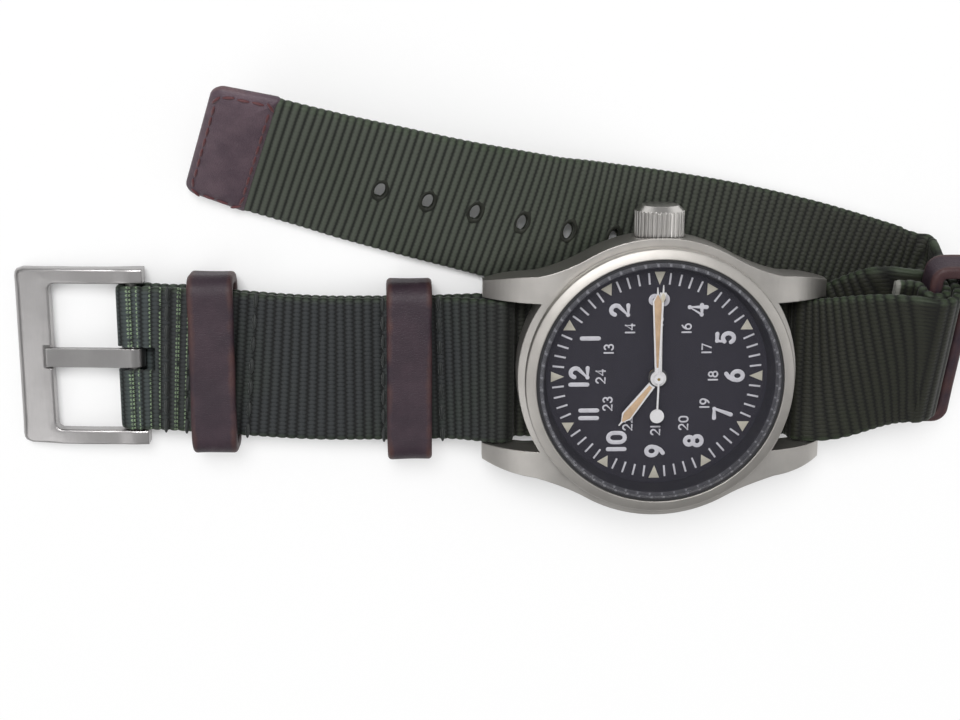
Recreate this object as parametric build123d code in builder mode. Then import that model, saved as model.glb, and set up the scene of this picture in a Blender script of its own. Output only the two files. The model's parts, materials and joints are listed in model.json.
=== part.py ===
from build123d import *
from math import acos, atan2, cos, degrees, hypot, pi, radians, sin
import os

# A hand-wound field watch on a pull-through webbing strap, laid out on a table.
# Millimetres. Origin under the centre of the head, on the table.
# +X points to 6 o'clock, +Y to 3 o'clock (the crown), +Z out of the dial.

# Strap: three plies pass under the case back, and they set its height
strap_width = 20.0
strap_thick = 1.3
ply_gap = 0.05
twist_room = 0.45
short_z = strap_thick + twist_room + strap_thick / 2
long_z = short_z + strap_thick + ply_gap
back_z = long_z + strap_thick / 2 + ply_gap

# Case: heights above the case back's underside
case_radius = 19.0
case_floor = 0.9
case_top = 7.0
lug_span = 46.6
lug_side = 0.2
lug_gap = strap_width + 2 * lug_side
lug_tip_thick = 2.25
lug_tip_half = lug_gap / 2 + lug_tip_thick
lug_waist_x = 16.3
lug_waist_thick = 3.6
lug_waist_half = lug_gap / 2 + lug_waist_thick
lug_bow_x = 20.6
lug_bow_thick = 3.0
lug_bow_half = lug_gap / 2 + lug_bow_thick
lug_flare_deg = 60.0
lug_top_at_tip = 1.7
lug_under_at_tip = -0.35
lug_shoulder_x = 13.0
lug_top_mid_x = 19.6
lug_top_mid = 5.0
case_flat_x = 18.75
cavity_radius = 15.3
shoulder_radius = 16.2
shoulder_height = 5.4
bezel_seat_radius = 16.85
bezel_seat_height = 6.1

# Bezel, crystal, its gasket and the sloping inner ring
bezel_radius = 17.95
bezel_bore = 16.5
bezel_height = 9.0
bezel_edge = 0.75
fit_gap = 0.05
crystal_radius = 16.1
crystal_seat = 7.65
crystal_height = 9.35
crystal_dome = 0.12
crystal_chamfer = 0.45
gasket_wall = 0.3
rehaut_bore = 14.95
rehaut_top_bore = 15.75

# Case back and its gasket
back_radius = 16.7
back_plate = 0.85
back_bevel = 0.35
back_spigot_wall = 1.0
back_spigot_height = 0.6
back_key_radius = 15.3
back_key_length = 1.8
back_key_width = 1.4
back_key_depth = 0.35
back_keys = 6
back_gasket_radius = 0.3

# Dial and hands: heights above the case back's underside, angles from 12 o'clock
dial_radius = 15.2
dial_thick = 0.4
dial_under = 4.95
dial_hole = 1.1
dial_foot_radius = 0.4
dial_foot_length = 1.2
dial_foot_at = 9.0
hour_hand_height = 6.1
minute_hand_height = 6.55
seconds_hand_height = 7.0
hand_thick = 0.16
hour_angle = 307.5
minute_angle = 88.0
seconds_angle = 91.2
hour_length = 8.35
hour_shoulder_at = 6.7
hour_width = 1.5
hour_root_width = 0.9
hour_hub = 1.27
minute_length = 12.4
minute_shoulder_at = 10.6
minute_width = 1.35
minute_root_width = 0.9
minute_hub = 1.05
needle_width = 0.26
seconds_length = 12.8
seconds_width = 0.24
seconds_tail = 5.1
seconds_tail_disc = 0.95
seconds_hub = 0.67
seconds_spade_at = 10.4
seconds_spade_end = 11.8
seconds_spade_width = 0.9

# Crown, stem and case tube, on an axis along +Y
crown_axis = 3.35
crown_radius = 3.3
crown_length = 4.2
crown_sink = 0.25
crown_start = case_radius - crown_sink
crown_flutes = 34
crown_flute_radius = 0.21
crown_chamfer = 0.8
crown_bore = 1.5
crown_bore_depth = 2.4
crown_recess_gap = 0.2
crown_pull = 1.0
tube_radius = 1.25
tube_bore = 0.75
tube_seat = 3.3
tube_inner_end = case_radius - tube_seat
stem_radius = 0.5
stem_start = 5.0
stem_square = 0.66
stem_square_length = 3.4

# Spring bars
bar_x = 21.0
bar_height = 1.1
bar_radius = 0.75
bar_pin_radius = 0.4
bar_pin_length = 1.2

# Movement: heights above the case back's underside, places in plan from the centre
movement_radius = 12.8
ring_radius = 15.2
ring_low = 1.7
bridge_radius = 12.6
bridge_low = 1.65
bridge_thick = 0.6
plate_low = 3.2
plate_high = 4.6
post_radius = 0.75
screw_radius = 0.3
screw_head_radius = 0.6
screw_head_thick = 0.22
screw_slot = 0.16
pivot_radius = 0.2
pivot_gap = 0.05
pivot_deep = 3.9
jewel_radius = 0.5
barrel_bridge_post_shares = ((0.281, 0.82), (-0.875, -0.078), (0.266, 0.281))
train_bridge_post_shares = ((-0.508, -0.547), (0.141, -0.664), (0.43, 0.07))
cock_post_share = (0.859, -0.156)
cock_post_round = 1.3
cock_end_round = 1.6
bridge_split_left = -2.7
bridge_split_low = -2.3
bridge_split_high = 1.9
bridge_split_gap = 0.2
barrel_bridge_right = 5.2
train_bridge_right = 6.4
train_bridge_low = -3.3
train_bridge_foot_right = 2.6

# Gear teeth, as shares of the module
tooth_tip_share = 0.75
tooth_root_share = 1.05
tooth_tip_width_share = 0.55
tooth_root_width_share = 1.3

# Motion work under the dial
motion_module = 0.125
cannon_leaves = 12
minute_wheel_teeth = 36
minute_pinion_leaves = 10
hour_wheel_teeth = 40
motion_floor = 4.0
motion_recess_radius = 3.0
motion_wheel_thick = 0.2
motion_pinion_low = 4.25
minute_wheel_direction = 150.0
cannon_radius = 0.55
cannon_bore = 0.3
hour_pipe_radius = 0.9
hour_pipe_bore = 0.62
hour_wheel_low = 4.62

# Going train: teeth, modules and the level of each wheel
wheel_thick = 0.16
barrel_radius = 4.4
barrel_teeth = 72
barrel_module = 0.13
barrel_low = 2.9
barrel_high = 3.85
barrel_wall = 0.25
barrel_floor = 0.18
barrel_arbor_radius = 0.8
barrel_pivot_radius = 0.45
barrel_place_share = (-0.469, 0.359)
mainspring_turns = 6
mainspring_inner = 1.1
mainspring_pitch = 0.44
mainspring_wall = 0.16
great_leaves = 12
great_teeth = 60
great_module = 0.12
great_direction = 281.6
great_low = 2.34
great_pinion_low = 2.6
third_leaves = 8
third_teeth = 64
third_module = 0.095
third_low = 2.66
third_pinion_low = 2.3
fourth_leaves = 8
fourth_teeth = 60
fourth_module = 0.085
fourth_low = 2.98
fourth_pinion_low = 2.6
escape_leaves = 6
escape_teeth = 15
escape_radius = 1.8
escape_root_share = 0.72
escape_direction = 340.0
escape_low = 2.34
escape_pinion_low = 2.9
pinion_thick = 0.28
fork_share = 0.42
fork_half = 1.3
fork_bar = 0.32
fork_lever = 2.45
fork_stone = 0.3
fork_stone_length = 0.72
balance_place_share = (0.5, -0.406)
balance_radius = 3.8
balance_rim = 0.45
balance_spoke = 0.4
balance_low = 2.75
balance_thick = 0.3
roller_radius = 0.6
hairspring_turns = 5
hairspring_inner = 0.5
hairspring_pitch = 0.3
hairspring_wall = 0.08
hairspring_low = 3.2
hairspring_height = 0.2
balance_pocket_high = 3.55

# Winding wheels on the barrel bridge
winding_module = 0.2
winding_leaves = 10
crown_wheel_teeth = 20
ratchet_teeth = 36
winding_low = 1.2
winding_thick = 0.35
winding_pinion_length = 0.9
crown_wheel_deep = 2.14
click_length = 2.4
click_width = 0.7
click_direction = 52.0

# Route of the long strap: over the pin, over one bar, under the back and over the other
fold_length = 7.6
fold_shares = ((1.0, 1.0), (0.7, 0.92), (0.42, 0.5), (0.2, 0.16))
rise_radius = 12.0
rise_deg = 25.0
under_round = 1.0
band_low_y = -0.3
band_level_x = -42.0
band_home_x = -34.0
exit_deg = 105.0
arc_step_deg = 22.0
level_steps = 10
leg_steps = 7
short_steps = 12
rising_steps = 7

# Turn through the end keeper, then the run back beneath the head to the leather tip
turn_x = 38.9
turn_y = 3.2
turn_roll = 16.0
turn_gap = 0.1
keeper_lift = 0.55
fold_round = 1.3
short_level_x = 20.5
tail_round = 1.2
tail_height = 2.8
tail_length = 2.2
return_reach = 60.0
return_drift = 31.4
return_roll = 34.0
return_shares = ((0.585, 0.188, 0.0), (0.535, 0.238, 0.0), (0.45, 0.315, 0.008),
                 (0.355, 0.383, 0.018), (0.24, 0.445, 0.04), (0.12, 0.496, 0.088),
                 (0.0, 0.538, 0.185), (-0.108, 0.574, 0.33), (-0.18, 0.6, 0.46),
                 (-0.255, 0.628, 0.57), (-0.4, 0.694, 0.735), (-0.558, 0.768, 0.78),
                 (-0.69, 0.832, 0.86), (-0.76, 0.869, 1.0), (-1.0, 1.0, 1.0))
tip_lift_share = 0.75

# Buckle
pin_x = -70.8
buckle_y = 1.4
pin_radius = 0.75
buckle_side = 0.2
buckle_inner = strap_width + 2 * buckle_side
buckle_arm = 2.1
buckle_left = -86.6
buckle_bar = 4.8
buckle_thick = 2.1
buckle_bow = 0.45
buckle_corner = 2.2
buckle_inner_corner = 1.0
buckle_eye = 1.7
tongue_width = 2.6
tongue_thick = 0.9
tongue_eye = 1.6
tongue_reach = 11.6
tongue_dip = 0.1
notch_reach = 1.2
notch_side = 0.3
tongue_slot = 3.3
tongue_slot_right = 3.2

# Leather keepers and tip
keeper_width = 6.1
keeper_side = 0.75
keeper_wall = 1.65
keeper_span = strap_width + 2 * (keeper_side + keeper_wall)
keeper_spare = 1.5
keeper_round = 1.6
keeper_edge = 0.4
keeper_1_x = -59.7
keeper_2_x = -33.2
end_keeper_height = 4.0
end_keeper_side = 0.9
end_keeper_wall = 1.7
end_keeper_span = strap_width + 2 * (end_keeper_side + end_keeper_wall)
end_keeper_shift = 0.5
end_keeper_round = 2.0
end_keeper_inner_round = 0.4
end_keeper_edge = 0.5
tip_length = 8.2
tip_wall = 0.5
tip_side = 0.25
tip_round = 2.0
tip_inner_round = 1.5

# Holes in the strap
hole_count = 7
hole_pitch = 6.5
hole_first = 24.0
hole_width = 2.0
hole_length = 2.9

cut_over = 1.0

os.makedirs("parts", exist_ok=True)


def finish_piece(builder, name):
    """Label a finished piece and write its STEP file."""
    builder.part.label = name
    export_step(builder.part, f"parts/{name}.step")


def at(height):
    """Table height of something given above the case back's underside."""
    return back_z + height


# Case middle: round band, four lugs that turn down to their tips, stepped bore
lug_tip_x = lug_span / 2
with BuildPart() as case_middle:
    with BuildSketch(Plane.XY.offset(at(lug_under_at_tip))):
        with BuildLine():
            band = CenterArc((0, 0), case_radius, 90, lug_flare_deg - 90)
            neck = TangentArc(band @ 1, (lug_waist_x, lug_waist_half), tangent=band % 1)
            flank = ThreePointArc(neck @ 1, (lug_bow_x, lug_bow_half), (lug_tip_x, lug_tip_half))
            Polyline(flank @ 1, (lug_tip_x, lug_gap / 2), (case_flat_x, lug_gap / 2),
                     (case_flat_x, 0), (0, 0), band @ 0)
        make_face()
        mirror(about=Plane.XZ)
        mirror(about=Plane.YZ)
    extrude(amount=case_top - lug_under_at_tip)
    with BuildSketch(Plane.XZ):
        with BuildLine():
            top = Line((0, at(case_top)), (lug_shoulder_x, at(case_top)))
            slope = ThreePointArc(top @ 1, (lug_top_mid_x, at(lug_top_mid)),
                                  (lug_tip_x, at(lug_top_at_tip)))
            tip = Line(slope @ 1, (lug_tip_x, at(lug_under_at_tip)))
            under = TangentArc(tip @ 1, (case_flat_x - cut_over, at(case_floor)),
                               tangent=(-1, 0))
            Polyline(under @ 1, (0, at(case_floor)), top @ 0)
        make_face()
        mirror(about=Plane.YZ)
    extrude(amount=case_radius + cut_over, both=True, mode=Mode.INTERSECT)
    with BuildSketch(Plane.XZ):
        with BuildLine():
            Polyline((0, at(case_floor) - cut_over), (cavity_radius, at(case_floor) - cut_over),
                     (cavity_radius, at(shoulder_height)), (shoulder_radius, at(shoulder_height)),
                     (shoulder_radius, at(bezel_seat_height)),
                     (bezel_seat_radius, at(bezel_seat_height)),
                     (bezel_seat_radius, at(case_top) + cut_over), (0, at(case_top) + cut_over),
                     close=True)
        make_face()
    revolve(axis=Axis.Z, mode=Mode.SUBTRACT)
    with Locations(Plane(origin=(0, crown_start - crown_recess_gap, at(crown_axis)),
                         z_dir=(0, 1, 0))):
        Cylinder(crown_radius + crown_recess_gap, case_radius,
                 align=(Align.CENTER, Align.CENTER, Align.MIN), mode=Mode.SUBTRACT)
    with Locations(Plane(origin=(0, 0, at(crown_axis)), z_dir=(0, 1, 0))):
        Cylinder(tube_radius, case_radius, align=(Align.CENTER, Align.CENTER, Align.MIN),
                 mode=Mode.SUBTRACT)
    for side in (-1, 1):
        with Locations(Plane(origin=(side * bar_x, 0, at(bar_height)), z_dir=(0, 1, 0))):
            Cylinder(bar_pin_radius + fit_gap, lug_gap + 2 * (bar_pin_length + fit_gap),
                     mode=Mode.SUBTRACT)
finish_piece(case_middle, "case_middle")


def ring(low, high, inner, outer):
    """Plain ring about the head's axis, made inside the caller's part."""
    with BuildSketch(Plane.XY.offset(at(low))) as plan:
        Circle(outer)
        Circle(inner, mode=Mode.SUBTRACT)
    extrude(plan.sketch, amount=high - low)


# Bezel: sloping ring with a spigot down into the case
with BuildPart() as bezel:
    with BuildSketch(Plane.XZ):
        with BuildLine():
            rise = Line((bezel_radius, at(case_top) + fit_gap),
                        (bezel_radius, at(bezel_height) - 2 * bezel_edge))
            slope = ThreePointArc(rise @ 1,
                                  (bezel_radius - bezel_edge * (1 - cos(pi / 4)),
                                   at(bezel_height) - bezel_edge * (2 - 2 * sin(pi / 4))),
                                  (bezel_radius - bezel_edge, at(bezel_height)))
            Polyline(slope @ 1, (bezel_bore, at(bezel_height)),
                     (bezel_bore, at(crystal_seat)),
                     (shoulder_radius + fit_gap, at(crystal_seat)),
                     (shoulder_radius + fit_gap, at(bezel_seat_height) + fit_gap),
                     (bezel_seat_radius - fit_gap, at(bezel_seat_height) + fit_gap),
                     (bezel_seat_radius - fit_gap, at(case_top) + fit_gap), rise @ 0)
        make_face()
    revolve(axis=Axis.Z)
finish_piece(bezel, "bezel")

# Crystal with a faintly domed top and a polished chamfer
with BuildPart() as crystal:
    crown_top = at(crystal_height)
    with BuildSketch(Plane.XZ):
        with BuildLine():
            foot = Polyline((0, at(crystal_seat)), (crystal_radius, at(crystal_seat)),
                            (crystal_radius, crown_top - crystal_chamfer),
                            (crystal_radius - crystal_chamfer, crown_top))
            dome = TangentArc((0, crown_top + crystal_dome), foot @ 1, tangent=(1, 0))
            Line(foot @ 0, dome @ 0)
        make_face()
    revolve(axis=Axis.Z)
finish_piece(crystal, "crystal")

with BuildPart() as crystal_gasket:
    ring(crystal_seat + fit_gap, bezel_height - crystal_chamfer / 2,
         crystal_radius + fit_gap, crystal_radius + fit_gap + gasket_wall)
finish_piece(crystal_gasket, "crystal_gasket")

# Sloping ring between the dial and the crystal
with BuildPart() as inner_ring:
    low_z, high_z = at(shoulder_height) + fit_gap, at(crystal_seat) - fit_gap
    with BuildSketch(Plane.XZ):
        Polygon((rehaut_bore, low_z), (shoulder_radius - fit_gap, low_z),
                (shoulder_radius - fit_gap, high_z), (rehaut_top_bore, high_z), align=None)
    revolve(axis=Axis.Z)
finish_piece(inner_ring, "inner_ring")

# Case back: plate with a raised spigot, and slots round its edge for the opening key
with BuildPart() as case_back:
    with BuildSketch(Plane.XZ):
        spigot_top = case_floor + back_spigot_height
        Polygon((0, at(0)), (back_radius - back_bevel, at(0)), (back_radius, at(back_bevel)),
                (back_radius, at(back_plate)), (cavity_radius - fit_gap, at(back_plate)),
                (cavity_radius - fit_gap, at(spigot_top)),
                (cavity_radius - fit_gap - back_spigot_wall, at(spigot_top)),
                (cavity_radius - fit_gap - back_spigot_wall, at(back_plate)),
                (0, at(back_plate)), align=None)
    revolve(axis=Axis.Z)
    with BuildSketch(Plane.XY.offset(at(0))):
        with PolarLocations(back_key_radius, back_keys, start_angle=180 / back_keys):
            Rectangle(back_key_width, back_key_length)
    extrude(amount=back_key_depth, mode=Mode.SUBTRACT)
    with BuildSketch(Plane.XZ):
        with Locations((cavity_radius + back_gasket_radius + fit_gap,
                        at(case_floor) - back_gasket_radius)):
            Circle(back_gasket_radius + fit_gap)
    revolve(axis=Axis.Z, mode=Mode.SUBTRACT)
finish_piece(case_back, "case_back")

with BuildPart() as case_back_gasket:
    with BuildSketch(Plane.XZ):
        with Locations((cavity_radius + back_gasket_radius + fit_gap,
                        at(case_floor) - back_gasket_radius)):
            Circle(back_gasket_radius)
    revolve(axis=Axis.Z)
finish_piece(case_back_gasket, "case_back_gasket")

# Dial with its two feet, which drop into the main plate
with BuildPart() as dial:
    with BuildSketch(Plane.XY.offset(at(dial_under))):
        Circle(dial_radius)
        Circle(dial_hole, mode=Mode.SUBTRACT)
    extrude(amount=dial_thick)
    with BuildSketch(Plane.XY.offset(at(dial_under))):
        with Locations((dial_foot_at, dial_foot_at / 2), (-dial_foot_at, -dial_foot_at / 2)):
            Circle(dial_foot_radius)
    extrude(amount=-dial_foot_length)
finish_piece(dial, "dial")


def hand_plane(height, clock_angle):
    """Plane of a hand: its +Y runs from the centre towards the clock angle, 12 being -X."""
    return Plane.XY.offset(at(height)).rotated((0, 0, 90 - clock_angle))


def needle_hand(height, angle, length, shoulder, width, root, hub, bore):
    """Hour or minute hand: widening blade, short shoulders and a needle tip."""
    with BuildPart() as hand:
        with BuildSketch(hand_plane(height, angle)):
            Polygon((-root / 2, 0), (root / 2, 0), (width / 2, shoulder),
                    (needle_width / 2, shoulder + width * 2 / 3), (needle_width / 4, length),
                    (-needle_width / 4, length), (-needle_width / 2, shoulder + width * 2 / 3),
                    (-width / 2, shoulder), align=None)
            Circle(hub)
            Circle(bore, mode=Mode.SUBTRACT)
        extrude(amount=hand_thick)
    return hand


hour_hand = needle_hand(hour_hand_height, hour_angle, hour_length, hour_shoulder_at, hour_width,
                        hour_root_width, hour_hub, hour_pipe_radius)
finish_piece(hour_hand, "hour_hand")
minute_hand = needle_hand(minute_hand_height, minute_angle, minute_length, minute_shoulder_at,
                          minute_width, minute_root_width, minute_hub, cannon_radius)
finish_piece(minute_hand, "minute_hand")

with BuildPart() as seconds_hand:
    with BuildSketch(hand_plane(seconds_hand_height, seconds_angle)):
        Polygon((-seconds_width / 2, -seconds_tail), (seconds_width / 2, -seconds_tail),
                (seconds_width / 2, seconds_spade_at), (seconds_spade_width / 2, seconds_spade_end),
                (seconds_width / 2, seconds_spade_end), (seconds_width / 4, seconds_length),
                (-seconds_width / 4, seconds_length), (-seconds_width / 2, seconds_spade_end),
                (-seconds_spade_width / 2, seconds_spade_end),
                (-seconds_width / 2, seconds_spade_at), align=None)
        Circle(seconds_hub)
        with Locations((0, -seconds_tail)):
            Circle(seconds_tail_disc)
        Circle(pivot_radius, mode=Mode.SUBTRACT)
    extrude(amount=hand_thick)
finish_piece(seconds_hand, "seconds_hand")


def crown_plane(along):
    """Plane square to the stem at a distance from the head's axis."""
    return Plane(origin=(0, along, at(crown_axis)), x_dir=(1, 0, 0), z_dir=(0, 1, 0))


# Crown: fluted side, coned outer face, deep bore that hides the case tube
with BuildPart() as crown:
    with BuildSketch(crown_plane(crown_start)):
        Circle(crown_radius)
    extrude(amount=crown_length)
    chamfer(crown.edges().filter_by(GeomType.CIRCLE).sort_by(Axis.Y)[-1], crown_chamfer)
    with BuildSketch(crown_plane(crown_start)):
        with PolarLocations(crown_radius + crown_flute_radius / 3, crown_flutes):
            Circle(crown_flute_radius)
    extrude(amount=crown_length - crown_chamfer / 2, mode=Mode.SUBTRACT)
    with BuildSketch(crown_plane(crown_start)):
        Circle(crown_bore)
    extrude(amount=crown_bore_depth, mode=Mode.SUBTRACT)
    with BuildSketch(crown_plane(crown_start)):
        Circle(stem_radius)
    extrude(amount=crown_length - crown_chamfer, mode=Mode.SUBTRACT)
finish_piece(crown, "crown")

tube_end = crown_start + crown_bore_depth - crown_pull / 2
with BuildPart() as case_tube:
    with BuildSketch(crown_plane(tube_inner_end)):
        Circle(tube_radius)
        Circle(tube_bore, mode=Mode.SUBTRACT)
    extrude(amount=tube_end - tube_inner_end)
finish_piece(case_tube, "case_tube")

with BuildPart() as crown_gasket:
    with BuildSketch(crown_plane(crown_start + crown_recess_gap)):
        Circle(crown_bore)
        Circle(tube_radius + fit_gap, mode=Mode.SUBTRACT)
    extrude(amount=(crown_bore - tube_radius) * 2)
finish_piece(crown_gasket, "crown_gasket")

# Stem: round where it runs in the tube, square where it drives the winding pinion
stem_end = crown_start + crown_length - crown_chamfer
with BuildPart() as winding_stem:
    with BuildSketch(crown_plane(stem_start + stem_square_length)):
        Circle(stem_radius)
    extrude(amount=stem_end - stem_start - stem_square_length)
    with BuildSketch(crown_plane(stem_start)):
        Rectangle(stem_square, stem_square)
    extrude(amount=stem_square_length)
finish_piece(winding_stem, "winding_stem")

# Spring bars: tube body with a sprung pin at each end, which enters the lug
for side, name in ((-1, "spring_bar_12"), (1, "spring_bar_6")):
    with BuildPart() as spring_bar:
        bar_plane = Plane(origin=(side * bar_x, 0, at(bar_height)), z_dir=(0, 1, 0))
        with BuildSketch(bar_plane):
            Circle(bar_radius)
        extrude(amount=lug_gap / 2 - fit_gap, both=True)
        with BuildSketch(bar_plane):
            Circle(bar_pin_radius)
        extrude(amount=lug_gap / 2 + bar_pin_length, both=True)
    finish_piece(spring_bar, name)


def polar(radius, angle):
    """Point in plan at a radius and an angle in degrees from +X."""
    return (radius * cos(radians(angle)), radius * sin(radians(angle)))


def gear_points(teeth, module, phase):
    """Outline of a spur gear about the origin, with one tooth centred on the phase angle."""
    pitch_radius = teeth * module / 2
    tip = pitch_radius + tooth_tip_share * module
    root = pitch_radius - tooth_root_share * module
    tip_half = degrees(tooth_tip_width_share * module / 2 / tip)
    root_half = degrees(tooth_root_width_share * module / 2 / root)
    points = []
    for tooth in range(teeth):
        middle = phase + 360 * tooth / teeth
        points += [polar(root, middle - root_half), polar(tip, middle - tip_half),
                   polar(tip, middle + tip_half), polar(root, middle + root_half)]
    return points


def gear_disc(place, teeth, module, phase, low, thick):
    """Toothed disc at a place in plan, added to the caller's part."""
    with BuildSketch(Plane.XY.offset(at(low))) as plan:
        with Locations(place):
            Polygon(*gear_points(teeth, module, phase), align=None)
    extrude(plan.sketch, amount=thick)


def shaft(place, radius, low, high):
    """Round shaft along Z, added to the caller's part."""
    with BuildSketch(Plane.XY.offset(at(low))) as plan:
        with Locations(place):
            Circle(radius)
    extrude(plan.sketch, amount=high - low)


def bore(place, radius, low, high):
    """Round hole along Z, cut from the caller's part."""
    with BuildSketch(Plane.XY.offset(at(low))) as plan:
        with Locations(place):
            Circle(radius)
    extrude(plan.sketch, amount=high - low, mode=Mode.SUBTRACT)


def beside(place, direction, distance):
    """Place at a distance from another, in a direction given in degrees from +X."""
    step = polar(distance, direction)
    return (place[0] + step[0], place[1] + step[1])


def heading(start, end):
    """Direction in degrees from one place to another."""
    return degrees(atan2(end[1] - start[1], end[0] - start[0]))


def third_corner(start, start_reach, end, end_reach):
    """Place at one distance from each of two places, on the left of the line between them."""
    span = hypot(end[0] - start[0], end[1] - start[1])
    swing = degrees(acos((start_reach ** 2 + span ** 2 - end_reach ** 2) / (2 * start_reach * span)))
    return beside(start, heading(start, end) + swing, start_reach)


def gap_phase(place, partner, teeth):
    """Phase that turns the gap between two teeth towards the partner."""
    return heading(place, partner) + 180 / teeth


def placed(shares):
    """Place in plan given as shares of the movement's radius."""
    return (movement_radius * shares[0], movement_radius * shares[1])


# Places of the train, each from the gears' own pitch radii
centre = (0, 0)
barrel_place = placed(barrel_place_share)
balance_place = placed(balance_place_share)
barrel_bridge_posts = [placed(shares) for shares in barrel_bridge_post_shares]
train_bridge_posts = [placed(shares) for shares in train_bridge_post_shares]
cock_post = placed(cock_post_share)
great_place = beside(barrel_place, great_direction,
                     barrel_module * (barrel_teeth + great_leaves) / 2)
third_place = third_corner(centre, third_module * (third_teeth + fourth_leaves) / 2,
                           great_place, great_module * (great_teeth + third_leaves) / 2)
escape_place = beside(centre, escape_direction,
                      fourth_module * (fourth_teeth + escape_leaves) / 2)
fork_place = beside(escape_place, heading(escape_place, balance_place),
                    fork_share * hypot(balance_place[0] - escape_place[0],
                                       balance_place[1] - escape_place[1]))
minute_wheel_place = polar(motion_module * (cannon_leaves + minute_wheel_teeth) / 2,
                           minute_wheel_direction)
hour_module = motion_module * (cannon_leaves + minute_wheel_teeth) / (
    minute_pinion_leaves + hour_wheel_teeth)
crown_wheel_place = beside(barrel_place, 0, winding_module * (ratchet_teeth + crown_wheel_teeth) / 2)
bridge_high = bridge_low + bridge_thick
winding_pinion_start = crown_wheel_place[1] + winding_module * crown_wheel_teeth * 3 / 8
ratchet_tip = winding_module * (ratchet_teeth / 2 + tooth_tip_share)
click_tip = beside(barrel_place, click_direction, ratchet_tip + fit_gap)
click_place = beside(click_tip, click_direction - 60, click_length)

# Motion work: cannon pinion, minute wheel with its pinion, hour wheel with its pipe
with BuildPart() as cannon_pinion:
    gear_disc(centre, cannon_leaves, motion_module, heading(centre, minute_wheel_place),
              motion_floor + fit_gap, motion_wheel_thick)
    shaft(centre, cannon_radius, motion_floor + fit_gap, minute_hand_height + hand_thick)
    bore(centre, cannon_bore, motion_floor, minute_hand_height + hand_thick)
finish_piece(cannon_pinion, "cannon_pinion")

with BuildPart() as minute_wheel:
    gear_disc(minute_wheel_place, minute_wheel_teeth, motion_module,
              gap_phase(minute_wheel_place, centre, minute_wheel_teeth),
              motion_floor + fit_gap, motion_wheel_thick)
    gear_disc(minute_wheel_place, minute_pinion_leaves, hour_module,
              heading(minute_wheel_place, centre), motion_pinion_low,
              hour_wheel_low + motion_wheel_thick - motion_pinion_low)
    bore(minute_wheel_place, pivot_radius + pivot_gap, motion_floor, dial_under)
finish_piece(minute_wheel, "minute_wheel")

with BuildPart() as hour_wheel:
    gear_disc(centre, hour_wheel_teeth, hour_module,
              gap_phase(centre, minute_wheel_place, hour_wheel_teeth),
              hour_wheel_low, motion_wheel_thick)
    shaft(centre, hour_pipe_radius, hour_wheel_low, hour_hand_height + hand_thick)
    bore(centre, hour_pipe_bore, hour_wheel_low, hour_hand_height + hand_thick)
finish_piece(hour_wheel, "hour_wheel")


def post_and_hole(place):
    """Post from a bridge down to the main plate, with its screw hole, added to a bridge."""
    shaft(place, post_radius, bridge_low, plate_low)
    bore(place, screw_radius + fit_gap, bridge_low, plate_low)


# Main plate: pockets for barrel, balance, stem and motion work, holes for pivots and screws
posts = barrel_bridge_posts + train_bridge_posts + [cock_post]
with BuildPart() as main_plate:
    shaft(centre, movement_radius, plate_low, plate_high)
    barrel_pocket = barrel_module * (barrel_teeth / 2 + 2)
    bore(barrel_place, barrel_pocket, plate_low, barrel_high + fit_gap * 2)
    bore(barrel_place, barrel_pivot_radius + pivot_gap, barrel_high, motion_floor + bridge_thick / 2)
    bore(balance_place, balance_radius + balance_rim, plate_low, balance_pocket_high)
    bore(centre, motion_recess_radius, motion_floor, plate_high)
    bore(minute_wheel_place, motion_module * (minute_wheel_teeth / 2 + 2), motion_floor, plate_high)
    shaft(minute_wheel_place, pivot_radius, motion_floor, hour_wheel_low)
    bore(centre, pivot_radius + pivot_gap, plate_low, plate_high)
    for place in (great_place, third_place, escape_place, balance_place):
        bore(place, pivot_radius + pivot_gap, plate_low, pivot_deep + fit_gap)
    for place in posts:
        bore(place, screw_radius + fit_gap, plate_low, pivot_deep)
    for side in (-1, 1):
        bore((side * dial_foot_at, side * dial_foot_at / 2), dial_foot_radius + fit_gap,
             dial_under - dial_foot_length - fit_gap, plate_high)
    with BuildSketch(crown_plane(stem_start - stem_radius)):
        Circle(tube_bore)
    extrude(amount=movement_radius, mode=Mode.SUBTRACT)
    winding_pocket = winding_module * (winding_leaves / 2 + 1)
    with BuildSketch(Plane.XY.offset(at(plate_low))):
        with Locations((0, winding_pinion_start + winding_pinion_length / 2)):
            Rectangle(2 * winding_pocket, winding_pinion_length + 4 * fit_gap)
    extrude(amount=plate_high - plate_low, mode=Mode.SUBTRACT)
finish_piece(main_plate, "main_plate")

with BuildPart() as movement_ring:
    ring(ring_low, dial_under - fit_gap, movement_radius + fit_gap, ring_radius)
    with BuildSketch(crown_plane(0)):
        Circle(tube_bore)
    extrude(amount=case_radius, mode=Mode.SUBTRACT)
finish_piece(movement_ring, "movement_ring")

# Barrel bridge: upper part of the movement, with windows for the winding wheels' arbors
with BuildPart() as barrel_bridge:
    with BuildSketch(Plane.XY.offset(at(bridge_low))):
        Circle(bridge_radius)
        with BuildLine():
            Polyline((-case_radius, bridge_split_low), (bridge_split_left, bridge_split_low),
                     (bridge_split_left, bridge_split_high),
                     (barrel_bridge_right, bridge_split_high), (barrel_bridge_right, case_radius),
                     (-case_radius, case_radius), close=True)
        make_face(mode=Mode.INTERSECT)
    extrude(amount=bridge_thick)
    for place in barrel_bridge_posts:
        post_and_hole(place)
    bore(barrel_place, barrel_pivot_radius + pivot_gap, bridge_low, bridge_high)
    bore(crown_wheel_place, winding_module * (crown_wheel_teeth / 2 + 1.5), bridge_low, bridge_high)
    bore(great_place, jewel_radius, bridge_low, bridge_high)
    bore(click_place, pivot_radius + pivot_gap, bridge_low, bridge_high)
finish_piece(barrel_bridge, "barrel_bridge")

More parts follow.
